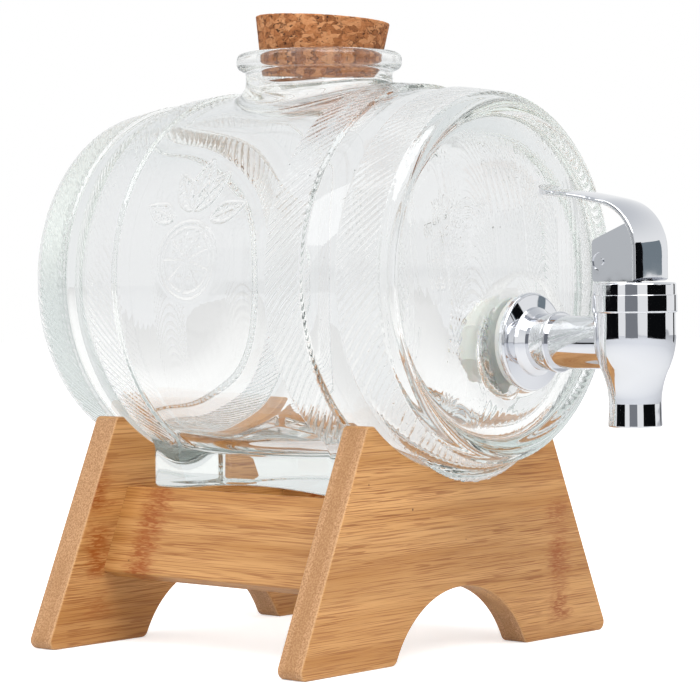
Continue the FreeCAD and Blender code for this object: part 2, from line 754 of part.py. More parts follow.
def ring(body, name, inner, outer, low, high, axis="V_Axis"):
    """Flat ring of revolution between two heights."""
    profile = new_sketch(body, "YZ_Plane", name + "_section")
    corners = [(inner, low), (outer, low), (outer, high), (inner, high)]
    if axis == "H_Axis":
        corners = [(y, x) for x, y in corners]
    outline(profile, corners)
    turned(body, profile, name + "_ring", axis)
    return body


def o_ring(body, name, middle_r, cord_r, height, axis="V_Axis"):
    """Round seal of one cord radius about the axis."""
    profile = new_sketch(body, "YZ_Plane", name + "_cord")
    spot = (height, middle_r) if axis == "H_Axis" else (middle_r, height)
    circle(profile, *spot, cord_r)
    turned(body, profile, name + "_seal", axis)
    return body


def lock_nut():
    """Eight-sided nut on the tail, inside the glass."""
    body = at_tap_hole("lock_nut")
    plan = new_sketch(body, "XZ_Plane", "nut_plan", "0 - nut_y")
    corners = [(f"nut_corner_r * cos({22.5 + 45 * side})", f"nut_corner_r * sin({22.5 + 45 * side})")
               for side in range(8)]
    outline(plan, corners)
    circle(plan, "0", "0", "tail_r + nut_slack")
    pad(body, plan, "nut_form", "nut_thick", Reversed=True)
    far = value("nut_y + nut_thick")
    rounded(body, "nut_edges", "nut_chamfer", lambda edge, at: near(at.y, far)
            and straight(edge), "Chamfer")
    return body


def tap_body():
    """Valve body: swept-in shoulder, spout, side arm, chamber and seat."""
    body = at_valve("tap_body")
    shell = new_sketch(body, "YZ_Plane", "shell_profile")
    outline(shell, [
        ("0", "screw_top"),
        ("0", "0 - mouth_z"),
        ("mouth_r - mouth_edge", "0 - mouth_z", "mouth_edge", 1),
        ("mouth_r", "mouth_edge - mouth_z"),
        ("waist_r", "0 - waist_z", "sway_bend_r", -1),
        ("sway_r", "sway_z", "sway_bend_r", 1),
        ("body_r", "shoulder_z"),
        ("body_r", "seam_z"),
        ("screw_r", "seam_z"),
        ("screw_r", "screw_top"),
    ])
    turned(body, shell, "shell_form")
    arm = new_sketch(body, "YZ_Plane", "arm_profile")
    outline(arm, [
        ("0", "0"),
        ("0", "arm_r"),
        ("arm_long", "arm_r"),
        ("arm_long", "spigot_r"),
        ("arm_seal_y - seal_cord_r", "spigot_r"),
        ("arm_seal_y - seal_cord_r", "arm_seal_r - seal_cord_r - 0.05"),
        ("arm_seal_y + seal_cord_r", "arm_seal_r - seal_cord_r - 0.05"),
        ("arm_seal_y + seal_cord_r", "spigot_r"),
        ("spigot_end", "spigot_r"),
        ("spigot_end", "0"),
    ])
    turned(body, arm, "arm_form", "H_Axis")
    chamber = new_sketch(body, "YZ_Plane", "chamber_profile")
    outline(chamber, [
        ("0", "screw_top"),
        ("0", "0 - mouth_z"),
        ("outlet_r + 0.6", "0 - mouth_z"),
        ("outlet_r", "0 - mouth_z + 1.5"),
        ("outlet_r", "0 - seat_z"),
        ("chamber_r", "0 - seat_z"),
        ("chamber_r", "screw_top"),
    ])
    turned(body, chamber, "chamber", kind="Groove")
    way = new_sketch(body, "YZ_Plane", "arm_bore_profile")
    outline(way, [("0", "0"), ("0", "tail_bore_r"), ("spigot_end", "tail_bore_r"), ("spigot_end", "0")])
    turned(body, way, "arm_bore", "H_Axis", "Groove")
    return body


def bonnet():
    """Screw cap of the valve with the guide of the stem and the groove of its seal."""
    body = at_valve("bonnet")
    profile = new_sketch(body, "YZ_Plane", "bonnet_profile")
    groove_r, groove_low = "seal_ring_r + seal_cord_r + 0.05", "stem_seal_z - seal_cord_r - 0.05"
    groove_high = "stem_seal_z + seal_cord_r + 0.05"
    outline(profile, [
        ("screw_r + screw_slack", "seam_z"),
        ("bonnet_r - bonnet_rim", "seam_z", "bonnet_rim", 1),
        ("bonnet_r", "seam_z + bonnet_rim"),
        ("bonnet_r", "bonnet_step_z - step_round", "step_round", 1),
        ("bonnet_r - step_round", "bonnet_step_z"),
        ("bonnet_r - bonnet_step", "bonnet_step_z"),
        ("bonnet_r - bonnet_step", "bonnet_top - bonnet_edge", "bonnet_edge", 1),
        ("bonnet_r - bonnet_step - bonnet_edge", "bonnet_top"),
        ("guide_bore_r", "bonnet_top"),
        ("guide_bore_r", groove_high),
        (groove_r, groove_high),
        (groove_r, groove_low),
        ("guide_bore_r", groove_low),
        ("guide_bore_r", "guide_low"),
        ("guide_r", "guide_low"),
        ("guide_r", "bonnet_ceiling"),
        ("screw_r + screw_slack", "bonnet_ceiling"),
    ])
    turned(body, profile, "bonnet_form")
    return body


def valve_stem():
    """Rod with the spring plate and the button that holds the cup."""
    body = at_valve("valve_stem")
    profile = new_sketch(body, "YZ_Plane", "stem_profile")
    outline(profile, [
        ("0", "button_low"),
        ("button_r", "button_low"),
        ("button_r", "button_top"),
        ("button_neck_r", "button_top"),
        ("button_neck_r", "spring_plate_z"),
        ("spring_r + spring_wire / 2", "spring_plate_z"),
        ("spring_r + spring_wire / 2", "plate_top"),
        ("stem_r", "plate_top"),
        ("stem_r", "pin_z + stem_r"),
        ("0", "pin_z + stem_r"),
    ])
    turned(body, profile, "stem_form")
    eye = new_sketch(body, "YZ_Plane", "stem_eye_circle")
    circle(eye, "0", "pin_z", "pin_r + running_slack")
    pocket(body, eye, "stem_eye", "2 * stem_r + 1", SideType="Symmetric")
    return body


def seat_cup():
    """Soft bell that closes the outlet, buttoned on the foot of the stem."""
    body = at_valve("seat_cup")
    floor = "0 - seat_z + cup_gap"
    profile = new_sketch(body, "YZ_Plane", "cup_profile")
    outline(profile, [
        ("0", f"{floor} + cup_hollow_deep"),
        ("cup_hollow_r - 1", f"{floor} + cup_hollow_deep"),
        ("cup_hollow_r", floor),
        ("cup_r", floor),
        ("cup_r", f"{floor} + 1"),
        ("cup_crown_r", "spring_plate_z - 0.8"),
        ("cup_crown_r", "spring_plate_z"),
        ("button_neck_r", "spring_plate_z"),
        ("button_neck_r", "button_top"),
        ("button_r", "button_top"),
        ("button_r", "button_low"),
        ("0", "button_low"),
    ])
    turned(body, profile, "cup_form")
    return body


def stem_spring():
    """Round-wire spring between the stem's plate and the bonnet."""
    body = at_valve("stem_spring", "plate_top + spring_wire / 2")
    wire = new_sketch(body, "XZ_Plane", "wire_circle")
    circle(wire, "spring_r", "0", "spring_wire / 2")
    feature(body, "AdditiveHelix", "spring_coil", wire, ReferenceAxis=(wire, ["V_Axis"]),
            Mode=0, Pitch="spring_long / spring_turns", Height="spring_long")
    return body


# ---- Lever: a crowned ribbon swept along its bend, two cheeks, and a heel that rolls on the
# bonnet. The heel is the involute of a circle of radius heel_rate, so the pin rises by
# heel_rate for each radian that the lever turns, and the stem with it.

def lever_handle():
    body = at_valve("lever_handle", "pin_z")
    spine = new_sketch(body, "YZ_Plane", "lever_spine")
    outline(spine, [
        ("0 - spine_front", "0 - heel_drop"),
        ("0 - spine_front", "lever_bend_z", "spine_bend_r", -1),
        ("bend_end_y", "bend_end_z", "arm_bend_r", -1),
        ("arm_end_y", "arm_end_z", "tip_curl_r", 1),
        ("tip_y", "tip_z"),
    ], closed=False)
    ribbon = new_sketch(body, "XY_Plane", "ribbon_section", "0 - heel_drop")
    half, inner = "lever_wide / 2", "lever_thick - lever_front"
    outline(ribbon, [
        (f"lever_edge - {half}", inner, "lever_edge", 1),
        (f"0 - {half}", f"{inner} - lever_edge"),
        (f"0 - {half}", "edge_side_y", "lever_edge", 1),
        ("0 - edge_x", "edge_y", "crown_r", 1),
        ("edge_x", "edge_y", "lever_edge", 1),
        (half, "edge_side_y"),
        (half, f"{inner} - lever_edge", "lever_edge", 1),
        (f"{half} - lever_edge", inner),
    ])
    feature(body, "AdditivePipe", "ribbon", ribbon, Spine=(spine, []))

    cheek = new_sketch(body, "YZ_Plane", "cheek_profile")
    outline(cheek, [
        ("0 - spine_front", "0 - heel_drop"),
        ("cheek_rear", "0 - heel_drop"),
        ("cheek_rear", "cheek_rear_z"),
        ("cheek_fore_y", "cheek_fore_z"),
        ("0 - spine_front", "lever_bend_z"),
    ])
    pad(body, cheek, "cheeks", "2 * cheek_out", SideType="Symmetric")
    rear = value("cheek_rear")
    rounded(body, "cheek_corners", "cheek_round", lambda edge, at: along(edge, X_WAY)
            and near(at.y, rear))
    gap = new_sketch(body, "YZ_Plane", "gap_profile")
    outline(gap, [
        ("gap_front", "relief_low"),
        ("cheek_rear + 1", "relief_low"),
        ("cheek_rear + 1", "gap_top_z"),
        ("gap_top_y", "gap_top_z", "gap_bend_r", 1),
        ("gap_front", "lever_bend_z"),
    ])
    pocket(body, gap, "gap_for_stem", "2 * cheek_in", SideType="Symmetric")
    relief = new_sketch(body, "YZ_Plane", "relief_profile")
    outline(relief, [
        ("relief_low_y", "relief_low"),
        ("0", "relief_low"),
        ("0", "relief_top"),
        ("gap_front", "relief_top"),
    ])
    pocket(body, relief, "relief_for_stem", "2 * (stem_r + stem_clear)", SideType="Symmetric")
    for side, word in ((LEFT, "left"), (RIGHT, "right")):
        hub = new_sketch(body, "YZ_Plane", word + "_hub_circle", f"{side} * hub_in")
        circle(hub, "0", "0", "hub_r")
        pad(body, hub, word + "_hub", "cheek_out - hub_in - 0.2", Reversed=side == LEFT)
        mark = new_sketch(body, "YZ_Plane", word + "_mark_circles", f"{side} * cheek_out")
        circle(mark, "mark_y", "mark_z", "mark_r")
        circle(mark, "mark_y", "mark_z", "mark_core_r")
        pocket(body, mark, word + "_mark", "mark_deep", Reversed=side == LEFT)
    hole = new_sketch(body, "YZ_Plane", "pin_hole_circle")
    circle(hole, "0", "0", "pin_r + pin_slack")
    pocket(body, hole, "pin_hole", "pin_long + 0.2", SideType="Symmetric")

    heel = new_sketch(body, "YZ_Plane", "heel_profile")
    outline(heel, [
        ("0 - heel_rate", "0 - heel_drop", "heel_bend_r", -1),
        ("0 - heel_out", "heel_low"),
        ("0 - lever_wide", "heel_low"),
        ("0 - lever_wide", "relief_low"),
        ("0 - heel_rate", "relief_low"),
    ])
    pocket(body, heel, "rolling_heel", "lever_wide + 2", SideType="Symmetric")
    beyond = new_sketch(body, "XY_Plane", "tip_plan", "arm_end_z")
    outline(beyond, [
        (f"0 - {half}", "tip_from", "tip_round", -1),
        ("0 - tip_side", "tip_y"),
        ("tip_side", "tip_y", "tip_round", -1),
        (half, "tip_from"),
        (f"{half} + 1", "tip_from"),
        (f"{half} + 1", "tip_y + 2"),
        (f"0 - {half} - 1", "tip_y + 2"),
        (f"0 - {half} - 1", "tip_from"),
    ])
    pocket(body, beyond, "rounded_tip", "lever_wide", SideType="Symmetric")
    return body


def lever_pin():
    body = at_valve("lever_pin", "pin_z")
    section = new_sketch(body, "YZ_Plane", "pin_circle")
    circle(section, "0", "0", "pin_r")
    pad(body, section, "pin_rod", "pin_long", SideType="Symmetric")
    return body


def check_document():
    """Stop before anything is written if an object failed or a solid is not sound."""
    for item in doc.Objects:
        if any(state in ("Invalid", "Error") for state in item.State):
            raise RuntimeError(f"{item.Label} failed: {item.State}")
    for node in nodes:
        if node.Shape.isNull() or not node.Shape.isValid() or not node.Shape.Solids:
            raise RuntimeError(f"{node.Label} has no sound solid")


def export_nodes():
    os.makedirs("parts", exist_ok=True)
    for node in nodes:
        node.Shape.exportStep(os.path.join("parts", node.Label + ".step"))
        box = node.Shape.BoundBox
        print(f"{node.Label}: {len(node.Shape.Solids)} solid, {node.Shape.Volume / 1000:.2f} cm3, "
              f"x {box.XMin:.1f}..{box.XMax:.1f} y {box.YMin:.1f}..{box.YMax:.1f} "
              f"z {box.ZMin:.1f}..{box.ZMax:.1f}")


fill_sheet()
end_board("front_board", FRONT)
end_board("rear_board", REAR)
stretcher("left_stretcher", LEFT)
stretcher("right_stretcher", RIGHT)
dowel_set("front_dowels", FRONT)
dowel_set("rear_dowels", REAR)
glass_barrel()
cork_stopper()
tap_tail()
ring(at_tap_hole("flange_gasket"), "gasket", "tail_r + tail_slack", "gasket_r",
     "0 - gasket_thick", "0", "H_Axis")
ring(at_tap_hole("inner_washer"), "washer", "tail_r + tail_slack", "washer_r",
     "seat_wall", "nut_y", "H_Axis")
lock_nut()
tap_body()
o_ring(at_valve("arm_o_ring"), "arm", "arm_seal_r", "seal_cord_r", "arm_seal_y", "H_Axis")
bonnet()
ring(at_valve("bonnet_washer"), "cap", "chamber_r", "screw_r", "screw_top", "bonnet_ceiling")
o_ring(at_valve("stem_o_ring"), "stem", "seal_ring_r", "seal_cord_r", "stem_seal_z")
valve_stem()
seat_cup()
stem_spring()
lever_handle()
lever_pin()
doc.recompute()
check_document()
export_nodes()
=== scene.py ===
import math

import bpy
import numpy as np
from mathutils import Matrix, Vector, noise


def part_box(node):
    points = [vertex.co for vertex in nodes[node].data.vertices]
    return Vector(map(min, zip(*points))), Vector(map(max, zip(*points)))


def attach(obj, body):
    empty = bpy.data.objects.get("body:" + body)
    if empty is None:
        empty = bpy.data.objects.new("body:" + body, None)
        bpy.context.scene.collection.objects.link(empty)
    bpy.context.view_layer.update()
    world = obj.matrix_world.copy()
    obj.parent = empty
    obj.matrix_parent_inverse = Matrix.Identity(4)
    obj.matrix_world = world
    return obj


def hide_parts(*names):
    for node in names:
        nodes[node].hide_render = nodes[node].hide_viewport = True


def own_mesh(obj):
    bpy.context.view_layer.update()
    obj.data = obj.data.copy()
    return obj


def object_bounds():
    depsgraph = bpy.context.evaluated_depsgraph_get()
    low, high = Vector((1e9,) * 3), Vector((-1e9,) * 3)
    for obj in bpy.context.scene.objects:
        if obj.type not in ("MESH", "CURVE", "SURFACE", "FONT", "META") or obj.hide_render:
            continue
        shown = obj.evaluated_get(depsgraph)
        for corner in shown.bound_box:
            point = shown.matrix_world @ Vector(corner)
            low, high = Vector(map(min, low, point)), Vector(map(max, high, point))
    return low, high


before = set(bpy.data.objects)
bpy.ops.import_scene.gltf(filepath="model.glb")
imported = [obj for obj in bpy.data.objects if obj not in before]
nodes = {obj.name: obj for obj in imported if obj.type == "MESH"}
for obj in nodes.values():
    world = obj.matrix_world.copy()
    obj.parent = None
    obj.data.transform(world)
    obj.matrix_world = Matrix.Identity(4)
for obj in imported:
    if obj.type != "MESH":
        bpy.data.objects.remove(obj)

# Cocktail dispenser: glass barrel with a lever tap, lying in a bamboo stand.
# X across the stand, Y along the barrel with the tap at -Y, Z up. Lengths are in metres for the
# camera and the studio, and in mm for the pieces.

mm = 0.001
tiny = 1e-6  # below this a length counts as nothing
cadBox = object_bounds()


# Shared helpers

def linear(hexColour):  # sRGB hex to the linear values that shaders take
    parts = [int(hexColour[spot:spot + 2], 16) / 255 for spot in (1, 3, 5)]
    return tuple(p / 12.92 if p <= 0.04045 else ((p + 0.055) / 1.055) ** 2.4 for p in parts) + (1.0,)


def addNode(tree, kind, inputs=None, **settings):  # an input is a value, a socket, or a node's first output
    node = tree.nodes.new("ShaderNode" + kind)
    for name, setting in settings.items():
        setattr(node, name, setting)
    for name, source in (inputs or {}).items():
        if isinstance(source, bpy.types.Node):
            source = next(socket for socket in source.outputs if socket.enabled)
        if isinstance(source, bpy.types.NodeSocket):
            tree.links.new(source, node.inputs[name])
        else:
            node.inputs[name].default_value = source
    return node


def setStops(ramp, stops):  # each stop is a place from 0 to 1 and a colour
    elements = ramp.color_ramp.elements
    while len(elements) > 1:
        elements.remove(elements[-1])
    elements[0].position, elements[0].color = stops[0][0], linear(stops[0][1])
    for place, colour in stops[1:]:
        elements.new(place).color = linear(colour)
    return ramp


def newMaterial(name, **sockets):
    material = bpy.data.materials.new(name)
    material.use_nodes = True
    shader = material.node_tree.nodes["Principled BSDF"]
    for socket, setting in sockets.items():
        shader.inputs[socket.replace("_", " ")].default_value = setting
    return material, material.node_tree, shader


def bareTree(owner):  # of a material or a world, with no nodes in it
    owner.use_nodes = True
    owner.node_tree.nodes.clear()
    return owner.node_tree


def dress(material, *names):
    for name in names:
        slots = nodes[name].data.materials
        slots.clear()
        slots.append(material)


def meshObject(name, points, faces, material, smooth=True):
    mesh = bpy.data.meshes.new(name)
    mesh.from_pydata(points, [], faces)
    mesh.polygons.foreach_set("use_smooth", [smooth] * len(mesh.polygons))
    mesh.materials.append(material)
    item = bpy.data.objects.new(name, mesh)
    bpy.context.scene.collection.objects.link(item)
    return item


# Camera and light

cameraView = {
    "place": (-0.60533, -0.528675, 0.11233),
    "yaw": 48.113,
    "pitch": 1.629,
    "roll": -0.65,
    "lens": 137.47,
    "clip": (0.02, 30),
}

studio = {
    "backdrop": "#FFFFFF",
    "fillColour": "#FFFFFF",  # what matt surfaces get from all round
    "fillLevel": 0.66,
    "mirroredSky": ("#F6F7F8", "#C6CAD0"),  # at the horizon and overhead, as chrome shows it
    "throughSky": ("#ECEDEE", "#DCE0E1"),  # and as it shows through the glass
    "skyFrom": 0.15,  # height, as a share of the dome's, where the sky starts to change
    "floorColour": "#F4F4F4",
    "floorThrough": "#B2B2B1",  # the same paper seen through the glass
    "floorMirrored": ("#C2C3C4", "#ADAFB3"),  # and in the chrome, near the object and far from it
    "mirroredFrom": 0.18,
    "mirroredTo": 0.5,
    "glowColour": "#FFFFFF",
    "floorGlow": 0.45,
    "floorHalf": 3.0,
    # soft boxes: azimuth from +Y towards +X, elevation, distance, width, height, watts
    "boxes": {
        "keyBox": (-160, 48, 1.5, 1.2, 0.9, 14.0),
        "fillBox": (-75, 35, 1.6, 1.1, 1.0, 7.0),
        "topBox": (-120, 82, 1.4, 1.2, 1.2, 7.0),
    },
    # flags that the chrome mirrors: azimuth from, to, elevation from, to, grey, and if the glass shows them
    "flags": {
        "flagLeft": (-80, -57, -7, 40, "#0C0D0F", True),
        "flagLow": (-57, -38, -7, 0.2, "#0C0D0F", True),
        "flagCheek": (-57, -38, 0.2, 14, "#C3C6C9", False),
        "flagMiddle": (-134, -100, -7, 30, "#808389", False),
        "flagRight": (-222, -161, -7, 14, "#0C0D0F", False),
        "flagFront": (-246, -222, 0.5, 13, "#7A858D", False),
        "flagFar": (-272, -262, -7, 13, "#0C0D0F", False),
    },
    "flagDistance": 1.1,
    "flagSteps": 6,  # flat pieces in the bend of a flag
    "flagThrough": "#B4B7BA",
    "bounces": 32,  # light crosses many walls of glass before it gets out
    "glossyBounces": 16,
}


def buildCamera():
    view = bpy.data.cameras.new("viewCamera")
    view.lens = cameraView["lens"]
    view.clip_start, view.clip_end = cameraView["clip"]
    camera = bpy.data.objects.new("viewCamera", view)
    turn = Matrix.Rotation(math.radians(-cameraView["yaw"]), 4, "Z")
    tilt = Matrix.Rotation(math.radians(90 - cameraView["pitch"]), 4, "X")
    roll = Matrix.Rotation(math.radians(cameraView["roll"]), 4, "Z")
    camera.matrix_world = Matrix.Translation(cameraView["place"]) @ turn @ tilt @ roll
    bpy.context.scene.collection.objects.link(camera)
    bpy.context.scene.camera = camera


def towards(azimuth, elevation, distance):
    side, rise = math.radians(azimuth), math.radians(elevation)
    flat = math.cos(rise) * distance
    return Vector((math.sin(side) * flat, math.cos(side) * flat, math.sin(rise) * distance))


def buildWorld():
    world = bpy.data.worlds.new("studioWorld")
    bpy.context.scene.world = world
    tree = bareTree(world)
    path = addNode(tree, "LightPath")
    way = addNode(tree, "TexCoord")
    split = addNode(tree, "SeparateXYZ", {0: way.outputs["Generated"]})
    rise = addNode(tree, "MapRange", {"Value": split.outputs["Z"], "From Min": studio["skyFrom"]},
                   interpolation_type="SMOOTHSTEP")
    shown = addNode(tree, "Background", {"Color": linear(studio["fillColour"]),
                                         "Strength": studio["fillLevel"]})
    for ray, sky in (("Is Glossy Ray", "mirroredSky"), ("Is Transmission Ray", "throughSky")):
        low, high = (linear(shade) for shade in studio[sky])
        shade = addNode(tree, "Mix", {"Factor": rise, "A": low, "B": high}, data_type="RGBA")
        dome = addNode(tree, "Background", {"Color": shade})
        shown = addNode(tree, "MixShader", {0: path.outputs[ray], 1: shown, 2: dome})
    plain = addNode(tree, "Background", {"Color": linear(studio["backdrop"])})
    shown = addNode(tree, "MixShader", {0: path.outputs["Is Camera Ray"], 1: shown, 2: plain})
    addNode(tree, "OutputWorld", {"Surface": shown})


def buildFloor():
    material = bpy.data.materials.new("whitePaperFloor")
    tree = bareTree(material)
    path = addNode(tree, "LightPath")
    seen = addNode(tree, "Math", {0: path.outputs["Is Camera Ray"], 1: path.outputs["Is Glossy Ray"]},
                   operation="MAXIMUM")
    level = addNode(tree, "Math", {0: seen, 1: studio["floorGlow"]}, operation="MULTIPLY")
    spot = addNode(tree, "NewGeometry").outputs["Position"]
    away = addNode(tree, "VectorMath", {0: spot}, operation="LENGTH").outputs["Value"]
    share = addNode(tree, "MapRange", {"Value": away, "From Min": studio["mirroredFrom"],
                                       "From Max": studio["mirroredTo"]})
    near, far = (linear(shade) for shade in studio["floorMirrored"])
    mirrored = addNode(tree, "Mix", {"Factor": share, "A": near, "B": far}, data_type="RGBA")
    # The paper's colour and its glow's. A ray through clear glass counts as glossy too, so its mix is last.
    shades = []
    for plain, through in (("floorColour", "floorThrough"), ("glowColour", "glowColour")):
        shown = addNode(tree, "Mix", {"Factor": path.outputs["Is Glossy Ray"], "A": linear(studio[plain]),
                                      "B": mirrored}, data_type="RGBA")
        shown = addNode(tree, "Mix", {"Factor": path.outputs["Is Transmission Ray"], "A": shown,
                                      "B": linear(studio[through])}, data_type="RGBA")
        shades.append(shown)
    paper = addNode(tree, "BsdfDiffuse", {"Color": shades[0]})
    glow = addNode(tree, "Emission", {"Color": shades[1], "Strength": level})
    both = addNode(tree, "AddShader", {0: paper, 1: glow})
    addNode(tree, "OutputMaterial", {"Surface": both})
    half = studio["floorHalf"]
    corners = [(-half, -half, 0), (half, -half, 0), (half, half, 0), (-half, half, 0)]
    floor = meshObject("paperFloor", corners, [(0, 1, 2, 3)], material, smooth=False)


def buildFlags():
    aim = Vector((0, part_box("bonnet")[0].y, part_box("bonnet")[0].z))
    distance, steps = studio["flagDistance"], studio["flagSteps"]
    for name, (start, end, low, high, shade, through) in studio["flags"].items():
        material = bpy.data.materials.new(name + "Cloth")
        tree = bareTree(material)
        path = addNode(tree, "LightPath")
        seen = addNode(tree, "Mix", {"Factor": path.outputs["Is Transmission Ray"], "A": linear(shade),
                                     "B": linear(studio["flagThrough"])}, data_type="RGBA")
        cloth = addNode(tree, "Emission", {"Color": seen})
        addNode(tree, "OutputMaterial", {"Surface": cloth})
        spots = []
        for number in range(steps + 1):
            side = start + (end - start) * number / steps
            spots += [aim + towards(side, low, distance), aim + towards(side, high, distance)]
        faces = [(2 * n, 2 * n + 1, 2 * n + 3, 2 * n + 2) for n in range(steps)]
        flag = meshObject(name, spots, faces, material)
        flag.visible_camera = False
        flag.visible_diffuse = False
        flag.visible_transmission = through
        flag.visible_shadow = False


def buildLamps():
    centre = (cadBox[0] + cadBox[1]) / 2
    for name, (azimuth, elevation, distance, wide, tall, watts) in studio["boxes"].items():
        light = bpy.data.lights.new(name, "AREA")
        light.shape = "RECTANGLE"
        light.size, light.size_y = wide, tall
        light.energy = watts
        lamp = bpy.data.objects.new(name, light)
        lamp.location = centre + towards(azimuth, elevation, distance)
        lamp.rotation_euler = (centre - lamp.location).to_track_quat("-Z", "Y").to_euler()
        lamp.visible_transmission = False
        bpy.context.scene.collection.objects.link(lamp)


# Moulded glass barrel. Its surface is where glassField is zero, so hoops, neck, foot block and
# relief all run into each other as they do in a mould. Sizes are in mm from the barrel's middle.

barrel = {
    # the net that becomes the mesh
    "step": 0.6,
    "quickStep": 1.3,
    "margin": 1.5,  # round the glass
    "rounds": 3,  # of moving the points onto the surface
    "leastSlope": 0.3,
    "farthestMove": 0.5,
    # staves, hoops, rims and domed heads
    "belly": 58.5,
    "staveBend": 436.0,
    "shoulder": 70.3,
    "hoops": ((31.0, 44.2), (56.0, 70.2)),
    "hoopProud": 1.2,
    "hoopEdge": 1.2,
    "rimMiddle": 49.9,
    "rimPlace": 68.5,
    "rimRound": 3.4,
    "headBend": 142.06,
    "headReach": 78.4,
    "headLimit": 47.3,
    "frontGroove": 0.6,
    "rearGroove": 5.0,  # the rear head has no sharp line round it
    "edgeRound": 0.8,
    # the hollow
    "wall": 5.0,
    "headWall": 5.5,
    "innerCorner": 18.0,
    # neck and lip
    "neck": 22.5,
    "neckFoot": 30.0,
    "neckUnder": 1.0,  # it ends this far under the top of the lip
    "neckFillet": 5.0,
    "lip": 25.3,
    "lipLow": 63.9,
    "lipTop": 69.2,
    "lipEdge": 2.0,
    "lipFillet": 1.6,
    "boreFoot": 18.8,
    "boreSlope": 0.137,
    "boreFrom": 60.2,
    "boreFillet": 2.5,
    "mouthRound": 0.5,
    # foot block
    "floorDrop": 63.5,
    "blockTop": -40.0,
    "blockHalf": (31.0, 44.4),
    "blockRound": 3.5,
    "blockEdge": 1.6,
    "blockFillet": 3.0,
    "archReach": 30.0,
    "archRise": 2.0,
    # the pad, the seat and the hole of the tap, each with the place along Y where it ends in the wall
    "tapDrop": 18.4,
    "bossReach": 78.5,
    "boss": 15.6,
    "bossSlope": 1.4,  # how the pad runs out into the head
    "bossFoot": -60.0,
    "bossEdge": 1.0,
    "bossFillet": 3.0,
    "seat": 14.2,
    "seatWall": 6.5,
    "seatFoot": -55.0,
    "hole": 8.3,
    "holeFoot": -50.0,
    # uneven inner wall: height, waves round it, mm along it for each radian, start
    "innerWaves": ((0.14, 3, 17, 0), (0.07, 7, -9, 1), (0.07, 0, 6, 2)),
    "waveOut": (22, 90, 26),  # out from the axis: from, to, edge
    # hatching on the hoops
    "hatchCount": 128,  # lines round each hoop, about 2.9 mm apart
    "hatchLean": 1.1,  # mm round the hoop for each mm along it
    "hatchDrift": ((0.1, 7, 9), (0.05, 16, -3)),  # share of the pitch, waves round, mm along for each radian
    "hatchDepth": 0.3,
    "hatchStrength": (0.3, 0.9),  # the shallowest line, and how much more the deepest has
    "hatchFloor": 0.08,  # rounds the bottom of a line
    "hatchPower": 0.3,  # low, so that the lines are narrow and the crests broad
    # slice of citrus under five leaves
    "motifAlong": (-1, 26, 3),  # where it may show along the barrel: from, to, edge
    "motifOut": (50, 70, 2),  # and out from the axis
    "motifMiddle": (0.0, 6.0),
    "lineWidth": 0.5,
    "lineHeight": 0.32,
    "sliceRadius": 11.5,
    "slicePips": 9,
    "sliceRings": ((1.0, 1.2, 1.0), (0.84, 1.0, 0.8)),  # share of the radius, of the width, of the height
    "sliceSpokes": (0.1, 0.82, 0.7),  # from, to, height
    "pipLook": (0.5, 0.8, 0.6),  # share of the radius, size, height
    # each leaf: start across and up, angle, length, half width
    "leaves": ((0.0, 15.5, 90, 17.0, 3.6), (0.0, 15.0, 128, 15.5, 3.3), (0.0, 15.0, 52, 15.5, 3.3),
               (-7.5, 12.5, 160, 13.0, 2.8), (7.5, 12.5, 20, 13.0, 2.8)),
    "leafSwell": 0.8,  # below 1, so that a leaf is widest near its stalk
    "leafEnd": 0.3,
    "midrib": (0.8, 0.7),  # width, height
    "veins": (1.1, 3.4, 0.3, 0.4),  # lean, pitch, width, height
    # planks on the heads
    "plankPitch": 15.5,
    "plankFrom": 2.5,
    "plankSeam": (0.7, 0.9),  # width, depth
    "grainMargin": 2.0,
    "grainHeight": 0.065,
    "grainWidth": 0.22,
    "arcPitch": 3.3,
    "arcBend": 0.2,
    "arcShift": 5,  # from plank to plank
    "arcWaver": (0.8, 3),  # height, and mm for each radian
    "strawPitch": 2.6,
    "strawHeight": 0.6,
    "strawWaver": ((0.9, 11, 2), (0.4, 4.5, 0)),  # height, mm for each radian, and shift from plank to plank
    # soda-lime glass
    "tint": "#D3EADF",
    "tintDensity": 2.8,
}


def blendMin(a, b, reach):
    share = np.clip(0.5 + 0.5 * (b - a) / reach, 0, 1)
    return b + (a - b) * share - reach * share * (1 - share)


def blendMax(a, b, reach):
    return -blendMin(-a, -b, reach)


def between(place, low, high, edge):  # 1 inside a band, 0 outside, smooth over its edges
    rise = np.clip((place - low) / edge + 0.5, 0, 1)
    fall = np.clip((high - place) / edge + 0.5, 0, 1)
    return rise * rise * (3 - 2 * rise) * fall * fall * (3 - 2 * fall)


def rounded(across, up, corner):  # a rectangle with round corners, from how far a spot is past its sides
    across, up = across + corner, up + corner
    return np.hypot(np.maximum(across, 0), np.maximum(up, 0)) + np.minimum(np.maximum(across, up), 0) - corner


def ridge(distance, width):
    return np.exp(-(distance / width) ** 2)


def scattered(number):  # a value from 0 to 1 for each whole number, with no order to see
    spread, fold = 12.9898, 437.5  # any two values serve that have no pattern between them
    return np.mod(np.sin(number * spread) * fold, 1)


def hatchRelief(x, y, z):
    turn = np.arctan2(z, -x)
    lean = barrel["hatchLean"] * np.abs(y) / (2 * math.pi * barrel["belly"])
    phase = barrel["hatchCount"] * (turn / (2 * math.pi) - lean)
    for height, waves, size in barrel["hatchDrift"]:
        phase = phase + height * np.sin(waves * turn + y / size)
    shallow, more = barrel["hatchStrength"]
    strength = shallow + more * scattered(np.floor(phase))
    profile = (np.sin(math.pi * phase) ** 2 + barrel["hatchFloor"]) ** barrel["hatchPower"] - 1
    return barrel["hatchDepth"] * strength * profile


